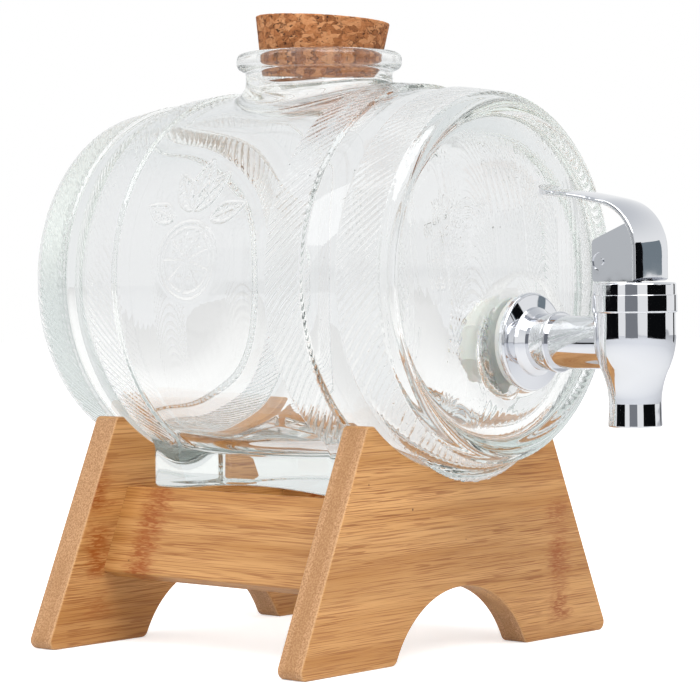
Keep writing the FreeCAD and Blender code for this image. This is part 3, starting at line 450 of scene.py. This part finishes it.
def leafRelief(across, up, start, angle, length, half):
    width = barrel["lineWidth"]
    c, s = math.cos(math.radians(angle)), math.sin(math.radians(angle))
    along = (across - start[0]) * c + (up - start[1]) * s
    aside = -(across - start[0]) * s + (up - start[1]) * c
    edge = half * np.sin(math.pi * np.clip(along / length, 0, 1) ** barrel["leafSwell"])
    ribWidth, ribHeight = barrel["midrib"]
    leaf = np.maximum(ridge(np.abs(aside) - edge, width), ribHeight * ridge(aside, width * ribWidth))
    lean, pitch, veinWidth, veinHeight = barrel["veins"]
    veins = ridge(np.sin((along - np.abs(aside) * lean) * 2 * math.pi / pitch), veinWidth)
    veins = veins * (np.abs(aside) < edge)
    inside = (along > -barrel["leafEnd"]) & (along < length + barrel["leafEnd"])
    return np.where(inside, np.maximum(leaf, veinHeight * veins), 0)


def motifRelief(x, y, z):  # a slice of citrus under five leaves, on both flanks
    across = y - barrel["motifMiddle"][0]
    up = np.arctan2(z, np.abs(x)) * barrel["belly"] - barrel["motifMiddle"][1]
    reach = np.hypot(across, up)
    around = np.arctan2(up, across)
    width, radius, pips = barrel["lineWidth"], barrel["sliceRadius"], barrel["slicePips"]
    line = 0
    for place, wide, tall in barrel["sliceRings"]:
        line = np.maximum(line, tall * ridge(reach - radius * place, width * wide))
    low, high, tall = barrel["sliceSpokes"]
    wedge = np.abs(np.sin(around * pips / 2)) * reach * 2 / pips
    spokes = ridge(wedge, width) * (reach < radius * high) * (reach > radius * low)
    line = np.maximum(line, tall * spokes)
    place, size, tall = barrel["pipLook"]
    pip = (reach - radius * place) ** 2 + (np.cos(around * pips / 2) * reach * 2 / pips) ** 2
    line = np.maximum(line, tall * np.exp(-pip / size))
    for startAcross, startUp, angle, length, half in barrel["leaves"]:
        line = np.maximum(line, leafRelief(across, up, (startAcross, startUp), angle, length, half))
    return barrel["lineHeight"] * line


def grainRelief(x, z):  # planks with plain-sawn and straight grain in turn
    pitch = barrel["plankPitch"]
    number = np.floor((x - barrel["plankFrom"]) / pitch)
    middle = x - barrel["plankFrom"] - (number + 0.5) * pitch
    arched = np.mod(number, 2) == 0
    waver, size = barrel["arcWaver"]
    arcs = z + barrel["arcBend"] * middle ** 2 + barrel["arcShift"] * number + waver * np.sin(x / size)
    straws = middle
    for waver, size, shift in barrel["strawWaver"]:
        straws = straws + waver * np.sin(z / size + shift * number)
    phase = np.where(arched, arcs / barrel["arcPitch"], straws / barrel["strawPitch"])
    line = ridge(np.mod(phase, 1) - 0.5, barrel["grainWidth"]) * np.where(arched, 1, barrel["strawHeight"])
    seamWidth, seamDepth = barrel["plankSeam"]
    return barrel["grainHeight"] * (line - seamDepth * ridge(np.abs(middle) - pitch / 2, seamWidth))


def glassField(x, y, z, fine=True):  # about the distance in mm to the glass, negative inside it
    radial, along, upright = np.hypot(x, z), np.abs(y), np.hypot(x, y)
    stave = np.sqrt(barrel["staveBend"] ** 2 - along ** 2) - barrel["staveBend"] + barrel["belly"]
    onHoop = sum(between(along, low, high, barrel["hoopEdge"]) for low, high in barrel["hoops"])
    proud = barrel["hoopProud"] * onHoop
    sunk = 0
    wave = 0
    if fine:
        onFace = between(along, *barrel["motifAlong"]) * between(radial, *barrel["motifOut"])
        proud = proud + hatchRelief(x, y, z) * onHoop + motifRelief(x, y, z) * onFace
        margin = barrel["grainMargin"]
        sunk = grainRelief(x, z) * between(radial, -margin, barrel["headLimit"] - margin, margin)
        turn = np.arctan2(z, x)
        for height, waves, size, start in barrel["innerWaves"]:
            wave = wave + height * np.sin(waves * turn + y / size + start)
        wave = wave * between(radial, *barrel["waveOut"])  # none on the axis, where the turn has no value
    side = blendMax(radial - stave - proud, along - barrel["shoulder"], barrel["edgeRound"])
    rim = np.hypot(radial - barrel["rimMiddle"], along - barrel["rimPlace"]) - barrel["rimRound"]
    cap = np.hypot(radial, along - barrel["headReach"] + barrel["headBend"]) - barrel["headBend"] - sunk
    head = np.maximum(cap, radial - barrel["headLimit"])
    groove = np.where(y > 0, barrel["rearGroove"], barrel["frontGroove"])
    outer = blendMin(blendMin(side, rim, barrel["edgeRound"]), head, groove)

    block = rounded(np.abs(x) - barrel["blockHalf"][0], along - barrel["blockHalf"][1], barrel["blockRound"])
    block = blendMax(block, np.maximum(-barrel["floorDrop"] - z, z - barrel["blockTop"]), barrel["blockEdge"])
    archBend = (barrel["archReach"] ** 2 + barrel["archRise"] ** 2) / (2 * barrel["archRise"])
    archDrop = barrel["floorDrop"] - barrel["archRise"] + archBend
    block = blendMax(block, archBend - np.hypot(y, z + archDrop), barrel["edgeRound"])
    outer = blendMin(outer, block, barrel["blockFillet"])

    neckEnds = np.maximum(z - barrel["lipTop"] + barrel["neckUnder"], barrel["neckFoot"] - z)
    neck = np.maximum(upright - barrel["neck"], neckEnds)
    lipHalf = (barrel["lipTop"] - barrel["lipLow"]) / 2
    pastLip = np.abs(z - barrel["lipLow"] - lipHalf) - lipHalf
    lip = rounded(upright - barrel["lip"], pastLip, barrel["lipEdge"])
    outer = blendMin(outer, blendMin(neck, lip, barrel["lipFillet"]), barrel["neckFillet"])

    tapRing = np.hypot(x, z + barrel["tapDrop"])
    ahead = -y - barrel["bossReach"]  # of the pad's flat front
    slope = barrel["bossSlope"]
    bossSide = (tapRing - barrel["boss"] - slope * (barrel["bossReach"] + y)) / math.hypot(1, slope)
    boss = blendMax(np.maximum(bossSide, y - barrel["bossFoot"]), ahead, barrel["bossEdge"])
    outer = np.maximum(blendMin(outer, boss, barrel["bossFillet"]), ahead)

    innerBend = barrel["staveBend"] - barrel["wall"]
    innerStave = np.sqrt(innerBend ** 2 - along ** 2) - innerBend + barrel["belly"] - barrel["wall"]
    innerCap = np.hypot(radial, along - barrel["headReach"] + barrel["headWall"] + barrel["headBend"])
    hollow = blendMax(radial - innerStave, innerCap - barrel["headBend"], barrel["innerCorner"]) + wave
    seatEnds = np.maximum(ahead + barrel["seatWall"], y - barrel["seatFoot"])
    hollow = np.minimum(hollow, np.maximum(tapRing - barrel["seat"], seatEnds))
    bore = upright - barrel["boreFoot"] - barrel["boreSlope"] * np.maximum(z - barrel["boreFrom"], 0)
    hollow = blendMin(hollow, np.maximum(bore, barrel["neckFoot"] - z), barrel["boreFillet"])
    hollow = np.minimum(hollow, np.maximum(tapRing - barrel["hole"], y - barrel["holeFoot"]))
    return blendMax(outer, -hollow, barrel["mouthRound"])


def netOf(field, low, high, step):  # one point in each cell that the surface crosses
    axes = [np.arange(a, b + step, step, dtype=np.float32) for a, b in zip(low, high)]
    grid = field(axes[0][:, None, None], axes[1][None, :, None], axes[2][None, None, :]).astype(np.float32)
    inside = grid < 0
    corners = [(i, j, k) for i in (0, 1) for j in (0, 1) for k in (0, 1)]
    size = [count - 1 for count in grid.shape]
    windows = [tuple(slice(o, o + n) for o, n in zip(corner, size)) for corner in corners]
    total = sum(inside[window].astype(np.uint8) for window in windows)
    active = (total > 0) & (total < len(corners))
    number = np.full(active.shape, -1, np.int32)
    number[active] = np.arange(active.sum())
    cells = np.argwhere(active)
    values = np.stack([grid[window][active] for window in windows], 1)
    points, crossings = np.zeros((len(cells), 3)), np.zeros(len(cells))
    for a in range(len(corners)):
        for b in range(a + 1, len(corners)):
            if sum(abs(p - q) for p, q in zip(corners[a], corners[b])) != 1:  # not an edge of the cell
                continue
            cut = (values[:, a] < 0) != (values[:, b] < 0)
            share = np.where(cut, values[:, a] / np.where(cut, values[:, a] - values[:, b], 1), 0)[:, None]
            place = np.array(corners[a]) + share * (np.array(corners[b]) - np.array(corners[a]))
            points += np.where(cut[:, None], place, 0)
            crossings += cut
    points = (cells + points / crossings[:, None]) * step + np.array(low)
    faces = []
    for axis in range(3):  # one face round each grid edge that the surface crosses
        first, second = (axis + 1) % 3, (axis + 2) % 3
        here = [slice(None)] * 3
        there = [slice(None)] * 3
        here[axis], there[axis] = slice(0, -1), slice(1, None)
        for other in (first, second):
            here[other] = there[other] = slice(1, -1)
        start, end = inside[tuple(here)], inside[tuple(there)]
        for flip, mask in ((False, start & ~end), (True, ~start & end)):
            spots = np.argwhere(mask)
            for other in (first, second):
                spots[:, other] += 1
            ring = []
            for moveFirst, moveSecond in ((-1, -1), (0, -1), (0, 0), (-1, 0)):
                cell = spots.copy()
                cell[:, first] += moveFirst
                cell[:, second] += moveSecond
                ring.append(number[cell[:, 0], cell[:, 1], cell[:, 2]])
            faces.append(np.stack(ring[::-1] if flip else ring, 1))
    return points, np.concatenate(faces)


def slopeOf(field, points, reach=0.04):
    slope = np.zeros_like(points)
    for axis in range(3):
        shift = np.zeros(3)
        shift[axis] = reach
        ahead, behind = points + shift, points - shift
        slope[:, axis] = (field(*ahead.T) - field(*behind.T)) / (2 * reach)
    return slope


def settle(field, points):  # moves each point onto the surface along the slope
    farthest = barrel["farthestMove"]
    for _ in range(barrel["rounds"]):
        slope = slopeOf(field, points)
        steep = np.maximum((slope ** 2).sum(1), barrel["leastSlope"])
        move = np.clip(field(*points.T) / steep, -farthest, farthest)
        points = points - slope * move[:, None]
    slope = slopeOf(field, points)
    return points, slope / np.maximum(np.linalg.norm(slope, axis=1), tiny)[:, None]


def buildBarrel(material):
    low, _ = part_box("glass_barrel")
    middle = np.array([0, low.y + barrel["bossReach"] * mm, low.z + barrel["floorDrop"] * mm])
    step = barrel["step"]
    margin = barrel["margin"]
    reach = barrel["belly"] + barrel["hoopProud"] + margin
    along, down, up = barrel["bossReach"] + margin, barrel["floorDrop"] + margin, barrel["lipTop"] + margin
    points, faces = netOf(lambda x, y, z: glassField(x, y, z, False), (-reach, -along, -down),
                          (reach, along, up), step)
    points, normals = settle(glassField, points)
    mesh = bpy.data.meshes.new("glassBarrel")
    mesh.vertices.add(len(points))
    mesh.vertices.foreach_set("co", (points * mm + middle).astype(np.float32).ravel())
    mesh.loops.add(faces.size)
    mesh.loops.foreach_set("vertex_index", faces.astype(np.int32).ravel())
    mesh.polygons.add(len(faces))
    mesh.polygons.foreach_set("loop_start", np.arange(0, faces.size, faces.shape[1], dtype=np.int32))
    mesh.polygons.foreach_set("use_smooth", np.ones(len(faces), bool))
    mesh.update(calc_edges=True)
    mesh.materials.append(material)
    mesh.normals_split_custom_set_from_vertices(normals.tolist())
    item = bpy.data.objects.new("mouldedGlassBarrel", mesh)
    bpy.context.scene.collection.objects.link(item)
    item.visible_shadow = False  # clear glass lets the light through to what stands behind it
    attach(item, "barrel")
    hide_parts("glass_barrel")
    print("glass barrel:", len(points), "points")


def mouldedGlass():  # soda-lime glass, blown in an iron mould: clear, with a green cast where it is thick
    material, tree, _ = newMaterial("mouldedSodaLimeGlass", Base_Color=(1, 1, 1, 1), Roughness=0.0,
                                    IOR=1.52, Transmission_Weight=1.0)
    tint = addNode(tree, "VolumeAbsorption", {"Color": linear(barrel["tint"]),
                                              "Density": barrel["tintDensity"]})
    tree.links.new(tint.outputs[0], tree.nodes["Material Output"].inputs["Volume"])
    return material


# Bamboo stand

bamboo = {
    # the name of each board's material, and where a joint of the cane crosses it, in mm along its grain
    "boards": {
        "front_board": ("laminatedBambooFront", 46.5),
        "rear_board": ("laminatedBambooRear", -50.0),
    },
    "rails": ("laminatedBambooRails", 59.0),
    "stripTall": 19.5,  # mm, the laminated strips
    "stripTone": (0.94, 1.05),
    "tones": ((0.32, "#B17B3E"), (0.5, "#C08D52"), (0.66, "#CC995E")),
    # noise drawn out along the grain: mm across it, mm along it, detail, and a shift that sets it apart
    "noises": {
        "band": (5.0, 130.0, 2.0, (0, 0, 0)),
        "hair": (0.27, 22.0, 1.0, (0, 0, 0)),
        "crowd": (6.0, 60.0, 1.0, (0, 0, 0)),  # patches with many dashes
        "dash": (0.34, 13.0, 0.0, (3, 7, 5)),
        "wobble": (1.0, 9.0, 1.0, (1, 9, 4)),  # of a joint's edge
        "patch": (12.0, 200.0, 0.0, (2, 2, 8)),  # where a joint shows
        "jointDash": (0.4, 2.4, 1.0, (0, 0, 0)),
    },
    # the level of that noise where a mark starts and where it is full, and how strong it is then
    "levels": {
        "hair": (0.50, 0.64, 0.62),
        "crowd": (0.36, 0.62, 1.0),
        "dash": (0.60, 0.66, 0.7),
        "patch": (0.38, 0.55, 1.0),
        "jointDash": (0.42, 0.54, 0.95),
    },
    "fibre": "#8C4F19",
    "ember": "#944C12",  # where a joint of the cane was cut through
    "jointFade": (1.35, 6.75),  # mm from the joint's middle, where it is full and where it ends
    "jointWobble": 6.0,
    "jointTint": 0.34,
    "pinhole": (14.0, 0.45),  # mm apart, and the radius in mm
    "pinholeCore": 0.6,  # the share of the radius that is full
    "pinholeShade": 0.75,
    "pinholeBrown": "#4A2C16",
    "speckle": 0.5,
    "endTones": ((0.34, "#9C6E43"), (0.5, "#B08358"), (0.68, "#C2966A")),
    "endTurn": (0.55, 0.8),  # how far a face turns towards the grain before it is an end
    # darker middle ply in the ends of the boards
    "core": "#996A37",
    "plyHalf": 2.2,
    "plyCore": 0.85,
    "plyTint": 0.4,
    "plyNoise": (30.0, 34.0, 0.0, (6, 1, 2)),
    "plyLevels": (0.42, 0.5),
    # painted highlight: paler colour where the boards' edges are eased, by how far a face turns towards Y
    "paintedEdgeHighlight": "#D2AA7C",
    "paintedHighlightShare": ((0.12, "#000000"), (0.4, "#9A9A9A"), (0.8, "#9A9A9A"), (0.97, "#000000")),
    "grainHeight": 0.2,
    "grainStrength": 0.2,
}


def noiseAlong(tree, place, grain, look):
    across, along, detail, shift = look
    scale = [1 / (across * mm)] * 3
    scale[grain] = 1 / (along * mm)
    laid = addNode(tree, "Mapping", {"Vector": place, "Scale": scale, "Location": shift})
    return addNode(tree, "TexNoise", {"Vector": laid, "Scale": 1.0, "Detail": detail})


def laminatedBamboo(name, grain, jointAt, plyAt=None):
    # Caramel bamboo strips glued side by side, planed and lacquered: fine dark fibres along the
    # grain, a brown band where each cane had its joint, and speckled ends.
    material, tree, shader = newMaterial(name, Roughness=0.48, IOR=1.5, Coat_Weight=0.1, Coat_Roughness=0.35)
    place = addNode(tree, "TexCoord").outputs["Object"]
    split = addNode(tree, "SeparateXYZ", {0: place})
    noises = {mark: noiseAlong(tree, place, grain, look) for mark, look in bamboo["noises"].items()}
    shares = {}
    for mark, (low, high, strength) in bamboo["levels"].items():
        shares[mark] = addNode(tree, "MapRange", {"Value": noises[mark], "From Min": low, "From Max": high,
                                                  "To Max": strength})

    strip = addNode(tree, "Math", {0: split.outputs["Z"], 1: 1 / (bamboo["stripTall"] * mm)},
                    operation="MULTIPLY")
    whole = addNode(tree, "Math", {0: strip}, operation="FLOOR")
    tone = addNode(tree, "TexWhiteNoise", {"W": whole}, noise_dimensions="1D")
    darkest, palest = bamboo["stripTone"]
    lift = addNode(tree, "MapRange", {"Value": tone, "To Min": darkest, "To Max": palest})
    ground = setStops(addNode(tree, "ValToRGB", {0: noises["band"]}), bamboo["tones"])
    colour = addNode(tree, "HueSaturation", {"Color": ground, "Value": lift})

    wobble = addNode(tree, "Math", {0: noises["wobble"], 1: 0.5}, operation="SUBTRACT")
    offset = addNode(tree, "Math", {0: wobble, 1: 2 * bamboo["jointWobble"] * mm}, operation="MULTIPLY")
    along = addNode(tree, "Math", {0: split.outputs[grain], 1: offset}, operation="ADD")
    along = addNode(tree, "Math", {0: along, 1: jointAt * mm}, operation="SUBTRACT")
    far = addNode(tree, "Math", {0: along}, operation="ABSOLUTE")
    full, end = bamboo["jointFade"]
    joint = addNode(tree, "MapRange", {"Value": far, "From Min": full * mm, "From Max": end * mm,
                                       "To Min": 1.0, "To Max": 0.0})
    joint = addNode(tree, "Math", {0: joint, 1: shares["patch"]}, operation="MULTIPLY")
    jointTint = addNode(tree, "Math", {0: joint, 1: bamboo["jointTint"]}, operation="MULTIPLY")
    jointDashes = addNode(tree, "Math", {0: shares["jointDash"], 1: joint}, operation="MULTIPLY")
    dashes = addNode(tree, "Math", {0: shares["dash"], 1: shares["crowd"]}, operation="MULTIPLY")

    apart, radius = bamboo["pinhole"]
    holes = addNode(tree, "TexVoronoi", {"Vector": place, "Scale": 1 / (apart * mm)})
    pinholes = addNode(tree, "MapRange", {"Value": holes, "From Min": bamboo["pinholeCore"] * radius / apart,
                                          "From Max": radius / apart, "To Min": bamboo["pinholeShade"],
                                          "To Max": 0.0})
    for share, paint in ((shares["hair"], "fibre"), (dashes, "fibre"), (jointTint, "ember"),
                         (jointDashes, "ember"), (pinholes, "pinholeBrown")):
        colour = addNode(tree, "Mix", {"Factor": share, "A": colour, "B": linear(bamboo[paint])},
                         data_type="RGBA")

    turned = addNode(tree, "SeparateXYZ", {0: addNode(tree, "NewGeometry").outputs["Normal"]})
    side = addNode(tree, "Math", {0: turned.outputs[grain]}, operation="ABSOLUTE")
    dots = addNode(tree, "TexNoise", {"Vector": place, "Scale": 1 / (bamboo["speckle"] * mm), "Detail": 1.0})
    endColour = setStops(addNode(tree, "ValToRGB", {0: dots}), bamboo["endTones"])
    if plyAt is not None:
        inward = addNode(tree, "Math", {0: split.outputs["Y"], 1: plyAt * mm}, operation="SUBTRACT")
        depth = addNode(tree, "Math", {0: inward}, operation="ABSOLUTE")
        half = bamboo["plyHalf"] * mm
        ply = addNode(tree, "MapRange", {"Value": depth, "From Min": bamboo["plyCore"] * half,
                                         "From Max": half, "To Min": bamboo["plyTint"], "To Max": 0.0})
        low, high = bamboo["plyLevels"]
        stretch = addNode(tree, "MapRange", {"Value": noiseAlong(tree, place, 2, bamboo["plyNoise"]),
                                             "From Min": low, "From Max": high})
        share = addNode(tree, "Math", {0: ply, 1: stretch}, operation="MULTIPLY")
        endColour = addNode(tree, "Mix", {"Factor": share, "A": endColour, "B": linear(bamboo["core"])},
                            data_type="RGBA")
    low, high = bamboo["endTurn"]
    isEnd = addNode(tree, "MapRange", {"Value": side, "From Min": low, "From Max": high})
    colour = addNode(tree, "Mix", {"Factor": isEnd, "A": colour, "B": endColour}, data_type="RGBA")
    if plyAt is not None:
        # painted highlight on the boards' eased edges, standing in for the light that their rounding catches
        face = addNode(tree, "Math", {0: turned.outputs["Y"]}, operation="ABSOLUTE")
        highlighted = setStops(addNode(tree, "ValToRGB", {0: face}), bamboo["paintedHighlightShare"])
        colour = addNode(tree, "Mix", {"Factor": highlighted, "A": colour, "B": linear(bamboo["paintedEdgeHighlight"])},
                         data_type="RGBA")
    tree.links.new(colour.outputs["Result"], shader.inputs["Base Color"])
    bump = addNode(tree, "Bump", {"Height": noises["hair"], "Strength": bamboo["grainStrength"],
                                  "Distance": bamboo["grainHeight"] * mm})
    tree.links.new(bump.outputs[0], shader.inputs["Normal"])
    return material


def dressStand():  # the boards' grain runs along X and the rails' along Y
    for board, (name, jointAt) in bamboo["boards"].items():
        low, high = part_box(board)
        dress(laminatedBamboo(name, 0, jointAt, (low.y + high.y) / 2 / mm), board)
    name, jointAt = bamboo["rails"]
    dress(laminatedBamboo(name, 1, jointAt), "left_stretcher", "right_stretcher", "front_dowels",
          "rear_dowels")
    print("bamboo stand dressed")


# Cork

cork = {
    "topRadius": 20.6,
    "footRadius": 17.6,
    "long": 19.0,
    "tilt": 3.8,
    "tiltAxis": (0.744, 0.668, 0),
    "chamfer": 0.3,
    "inset": 0.1,  # of the side under the chamfer
    "rings": (26, 36, 12),  # over the top, down the side, over the foot
    "around": 260,
    "crumb": 2.3,  # mm
    "seam": (0.16, 1.6),  # between crumbs: width as a share of a crumb, slope
    "pitsPerMm": 0.75,
    "pitLevel": 0.38,
    "pitSlope": 4.5,
    "deepest": 1.5,
    "depth": 0.4,
    "lean": 0.9,  # below 1, so that crumbs sink more sideways than up or down
    "squash": 1.5,  # crumbs lie flat
    "bends": ((2.632, 2.2), (0.7692, 0.9)),  # waves in their outlines: mm across, mm of reach
    "fleck": 0.9091,  # mm
    "fleckShare": 0.62,
    "tones": ((0.28, "#84502D"), (0.47, "#B07042"), (0.68, "#CB9061")),
    "hole": "#3E2212",
    "seamLook": (0.07, 0.8),  # width as a share of a crumb, strength
    "seamGaps": (3.03, 0.45, 0.6),  # mm across, and the noise levels from none to a whole seam
    "pit": 1.111,  # mm
    "cluster": 5.882,
    "clusterShare": 0.3,
    "pitLevels": (0.6, 0.645),
    "bumpStrength": 0.6,
    "bumpHeight": 0.6,
}


def agglomerateCork():
    # Crumbs of cork pressed with binder and sanded: patches of warm browns with dark open pits.
    material, tree, shader = newMaterial("agglomerateCork", Roughness=0.85, IOR=1.4)
    place = addNode(tree, "TexCoord").outputs["Object"]
    laid = addNode(tree, "Mapping", {"Vector": place, "Scale": (1, 1, cork["squash"])})
    for size, reach in cork["bends"]:
        bend = addNode(tree, "TexNoise", {"Vector": laid, "Scale": 1 / (size * mm), "Detail": 2.0})
        laid = addNode(tree, "Mix", {"Factor": reach * mm, "A": laid, "B": bend.outputs["Color"]},
                       data_type="RGBA", blend_type="ADD")
    crumbs = addNode(tree, "TexVoronoi", {"Vector": laid, "Scale": 1 / (cork["crumb"] * mm)})
    tone = addNode(tree, "SeparateXYZ", {0: crumbs.outputs["Color"]})
    borders = addNode(tree, "TexVoronoi", {"Vector": laid, "Scale": 1 / (cork["crumb"] * mm)},
                      feature="DISTANCE_TO_EDGE")
    fleck = addNode(tree, "TexNoise", {"Vector": laid, "Scale": 1 / (cork["fleck"] * mm), "Detail": 5.0,
                                       "Roughness": 0.75})
    mixed = addNode(tree, "Mix", {"Factor": cork["fleckShare"], "A": tone, "B": fleck})
    shade = setStops(addNode(tree, "ValToRGB", {0: mixed}), cork["tones"])

    width, strength = cork["seamLook"]
    seam = addNode(tree, "MapRange", {"Value": borders, "From Max": width, "To Min": strength, "To Max": 0.0})
    size, low, high = cork["seamGaps"]
    gaps = addNode(tree, "TexNoise", {"Vector": place, "Scale": 1 / (size * mm)})
    broken = addNode(tree, "MapRange", {"Value": gaps, "From Min": low, "From Max": high})
    pits = addNode(tree, "TexNoise", {"Vector": laid, "Scale": 1 / (cork["pit"] * mm), "Detail": 2.0})
    clusters = addNode(tree, "TexNoise", {"Vector": place, "Scale": 1 / (cork["cluster"] * mm)})
    pits = addNode(tree, "Mix", {"Factor": cork["clusterShare"], "A": pits, "B": clusters})
    low, high = cork["pitLevels"]
    deep = addNode(tree, "MapRange", {"Value": pits, "From Min": low, "From Max": high})
    seam = addNode(tree, "Math", {0: seam, 1: broken}, operation="MULTIPLY")
    hollow = addNode(tree, "Math", {0: seam, 1: deep}, operation="MAXIMUM")
    colour = addNode(tree, "Mix", {"Factor": hollow, "A": shade, "B": linear(cork["hole"])}, data_type="RGBA")
    tree.links.new(colour.outputs["Result"], shader.inputs["Base Color"])
    rough = addNode(tree, "Math", {0: fleck, 1: hollow}, operation="SUBTRACT")
    bump = addNode(tree, "Bump", {"Height": rough, "Strength": cork["bumpStrength"],
                                  "Distance": cork["bumpHeight"] * mm})
    tree.links.new(bump.outputs[0], shader.inputs["Normal"])
    return material


def buildCork(material):
    low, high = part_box("cork_stopper")
    middle = (low + high) / 2
    half, top, foot, cut = cork["long"] / 2, cork["topRadius"], cork["footRadius"], cork["chamfer"]
    over, down, under = cork["rings"]
    inset, tall = cork["inset"], 2 * half - 2 * cut
    rows = [(top * n / over, half) for n in range(1, over)] + [(top - cut, half), (top - inset, half - cut)]
    for n in range(1, down + 1):
        rows.append((top + (foot - top) * n / down - inset, half - cut - tall * n / down))
    rows += [(foot - cut, -half)] + [(foot * n / under, -half) for n in range(under - 1, 0, -1)]
    count = cork["around"]
    points = [Vector((0, 0, half))]
    for radius, height in rows:
        for number in range(count):
            turn = 2 * math.pi * number / count
            points.append(Vector((radius * math.cos(turn), radius * math.sin(turn), height)))
    points.append(Vector((0, 0, -half)))
    seamWidth, seamSlope = cork["seam"]
    for spot in points:
        reach = noise.voronoi(spot / cork["crumb"])[0]
        seam = max(0.0, seamWidth - (reach[1] - reach[0])) * seamSlope
        pit = max(0.0, noise.noise(spot * cork["pitsPerMm"]) - cork["pitLevel"]) * cork["pitSlope"]
        inward = Vector((spot.x, spot.y, spot.z * cork["lean"]))
        if inward.length > tiny:
            spot -= inward.normalized() * cork["depth"] * min(seam + pit, cork["deepest"])
    faces = [(0, 1 + n, 1 + (n + 1) % count) for n in range(count)]
    for row in range(len(rows) - 1):
        start = 1 + row * count
        for n in range(count):
            after = (n + 1) % count
            faces.append((start + n, start + count + n, start + count + after, start + after))
    last = len(points) - 1
    start = 1 + (len(rows) - 1) * count
    faces += [(last, start + (n + 1) % count, start + n) for n in range(count)]
    tilt = Matrix.Rotation(math.radians(cork["tilt"]), 4, Vector(cork["tiltAxis"]))
    placed = [middle + (tilt @ spot) * mm for spot in points]
    item = meshObject("sandedCorkStopper", placed, faces, material)
    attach(item, "cork")
    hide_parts("cork_stopper")
    print("cork built")


# Tap

tap = {
    "chrome": "#E6E7EA",
    "silicone": "#E9E7E0",
    "nylon": "#E4E1D9",
    "steel": "#8C8D92",
    # relief: mm across, detail, strength, mm high
    "chromeSwell": (6.25, 1.0, 0.05, 0.6),
    "siliconeSkin": (0.4545, 2.0, 0.15, 0.2),  # real skins are finer: drawn as coarse as they need to show
    "nylonSkin": (1.111, 3.0, 0.2, 0.2),
    "steelMottle": 0.3333,  # mm, coarser than the real drawing marks for the same reason
    "steelGloss": (0.2, 0.4),
}


def addSkin(tree, shader, look):
    size, detail, strength, height = look
    place = addNode(tree, "TexCoord").outputs["Object"]
    swell = addNode(tree, "TexNoise", {"Vector": place, "Scale": 1 / (size * mm), "Detail": detail})
    bump = addNode(tree, "Bump", {"Height": swell, "Strength": strength, "Distance": height * mm})
    tree.links.new(bump.outputs[0], shader.inputs["Normal"])


def chromePlating():  # bright chrome on moulded ABS: a mirror, with the faint swell of the moulding under it
    material, tree, shader = newMaterial("chromePlatedAbs", Base_Color=linear(tap["chrome"]), Metallic=1.0,
                                         Roughness=0.035)
    addSkin(tree, shader, tap["chromeSwell"])
    return material


def mouldedSilicone():  # food-grade silicone: milky, soft edged, a little see-through
    material, tree, shader = newMaterial("mouldedSilicone", Base_Color=linear(tap["silicone"]), Roughness=0.5,
                                         IOR=1.41, Transmission_Weight=0.25, Subsurface_Weight=0.2)
    addSkin(tree, shader, tap["siliconeSkin"])
    return material


def mouldedNylon():  # natural nylon straight from the mould: cream, waxy
    material, tree, shader = newMaterial("mouldedNylon", Base_Color=linear(tap["nylon"]), Roughness=0.42,
                                         IOR=1.53, Subsurface_Weight=0.15)
    addSkin(tree, shader, tap["nylonSkin"])
    return material


def drawnSteel():  # drawn stainless wire and rod: grey metal whose gloss varies in small patches
    material, tree, shader = newMaterial("drawnStainless", Base_Color=linear(tap["steel"]), Metallic=1.0)
    place = addNode(tree, "TexCoord").outputs["Object"]
    mottle = addNode(tree, "TexNoise", {"Vector": place, "Scale": 1 / (tap["steelMottle"] * mm),
                                        "Detail": 2.0})
    glossy, dull = tap["steelGloss"]
    level = addNode(tree, "MapRange", {"Value": mottle, "To Min": glossy, "To Max": dull})
    tree.links.new(level.outputs[0], shader.inputs["Roughness"])
    return material


# Spring over the valve stem. It stands on the stem's plate and reaches to just under the bonnet.

spring = {
    "turns": 5,
    "wire": 0.8,
    "stepsPerTurn": 48,
    "sides": 12,
    "endGap": 0.02,  # mm, under the bonnet
}


def buildSpring(material):
    low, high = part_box("stem_spring")
    middle = (low + high) / 2
    thick = spring["wire"] / 2 * mm
    reach = (high.x - low.x) / 2 - thick
    rise = high.z - low.z - 2 * thick - spring["endGap"] * mm
    steps, sides = spring["turns"] * spring["stepsPerTurn"], spring["sides"]
    up = Vector((0, 0, 1))
    points = []
    for step in range(steps + 1):
        turn = 2 * math.pi * step / spring["stepsPerTurn"]
        out = Vector((math.cos(turn), math.sin(turn), 0))
        spot = Vector((middle.x, middle.y, low.z + thick + rise * step / steps)) + out * reach
        for side in range(sides):
            angle = 2 * math.pi * side / sides
            points.append(spot + (out * math.cos(angle) + up * math.sin(angle)) * thick)
    faces = [tuple(range(sides)), tuple(range(len(points) - 1, len(points) - 1 - sides, -1))]
    for start in range(0, steps * sides, sides):
        for n in range(sides):
            after = (n + 1) % sides
            faces.append((start + after, start + n, start + sides + n, start + sides + after))
    item = meshObject("coiledStemSpring", points, faces, material)
    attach(item, "stem")
    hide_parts("stem_spring")
    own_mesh(item)


def dressTap():
    dress(chromePlating(), "tap_tail", "tap_body", "bonnet", "lever_handle")
    dress(mouldedSilicone(), "flange_gasket", "inner_washer", "arm_o_ring", "bonnet_washer", "stem_o_ring",
          "seat_cup")
    dress(mouldedNylon(), "lock_nut")
    steel = drawnSteel()
    dress(steel, "valve_stem", "lever_pin")
    buildSpring(steel)
    print("tap dressed, spring built")


buildCamera()
buildWorld()
buildFloor()
buildFlags()
buildLamps()
print("studio built")
buildBarrel(mouldedGlass())
buildCork(agglomerateCork())
dressStand()
dressTap()

scene = bpy.context.scene
scene.view_settings.view_transform = "Standard"
scene.cycles.max_bounces = studio["bounces"]
scene.cycles.transmission_bounces = studio["bounces"]
scene.cycles.glossy_bounces = studio["glossyBounces"]
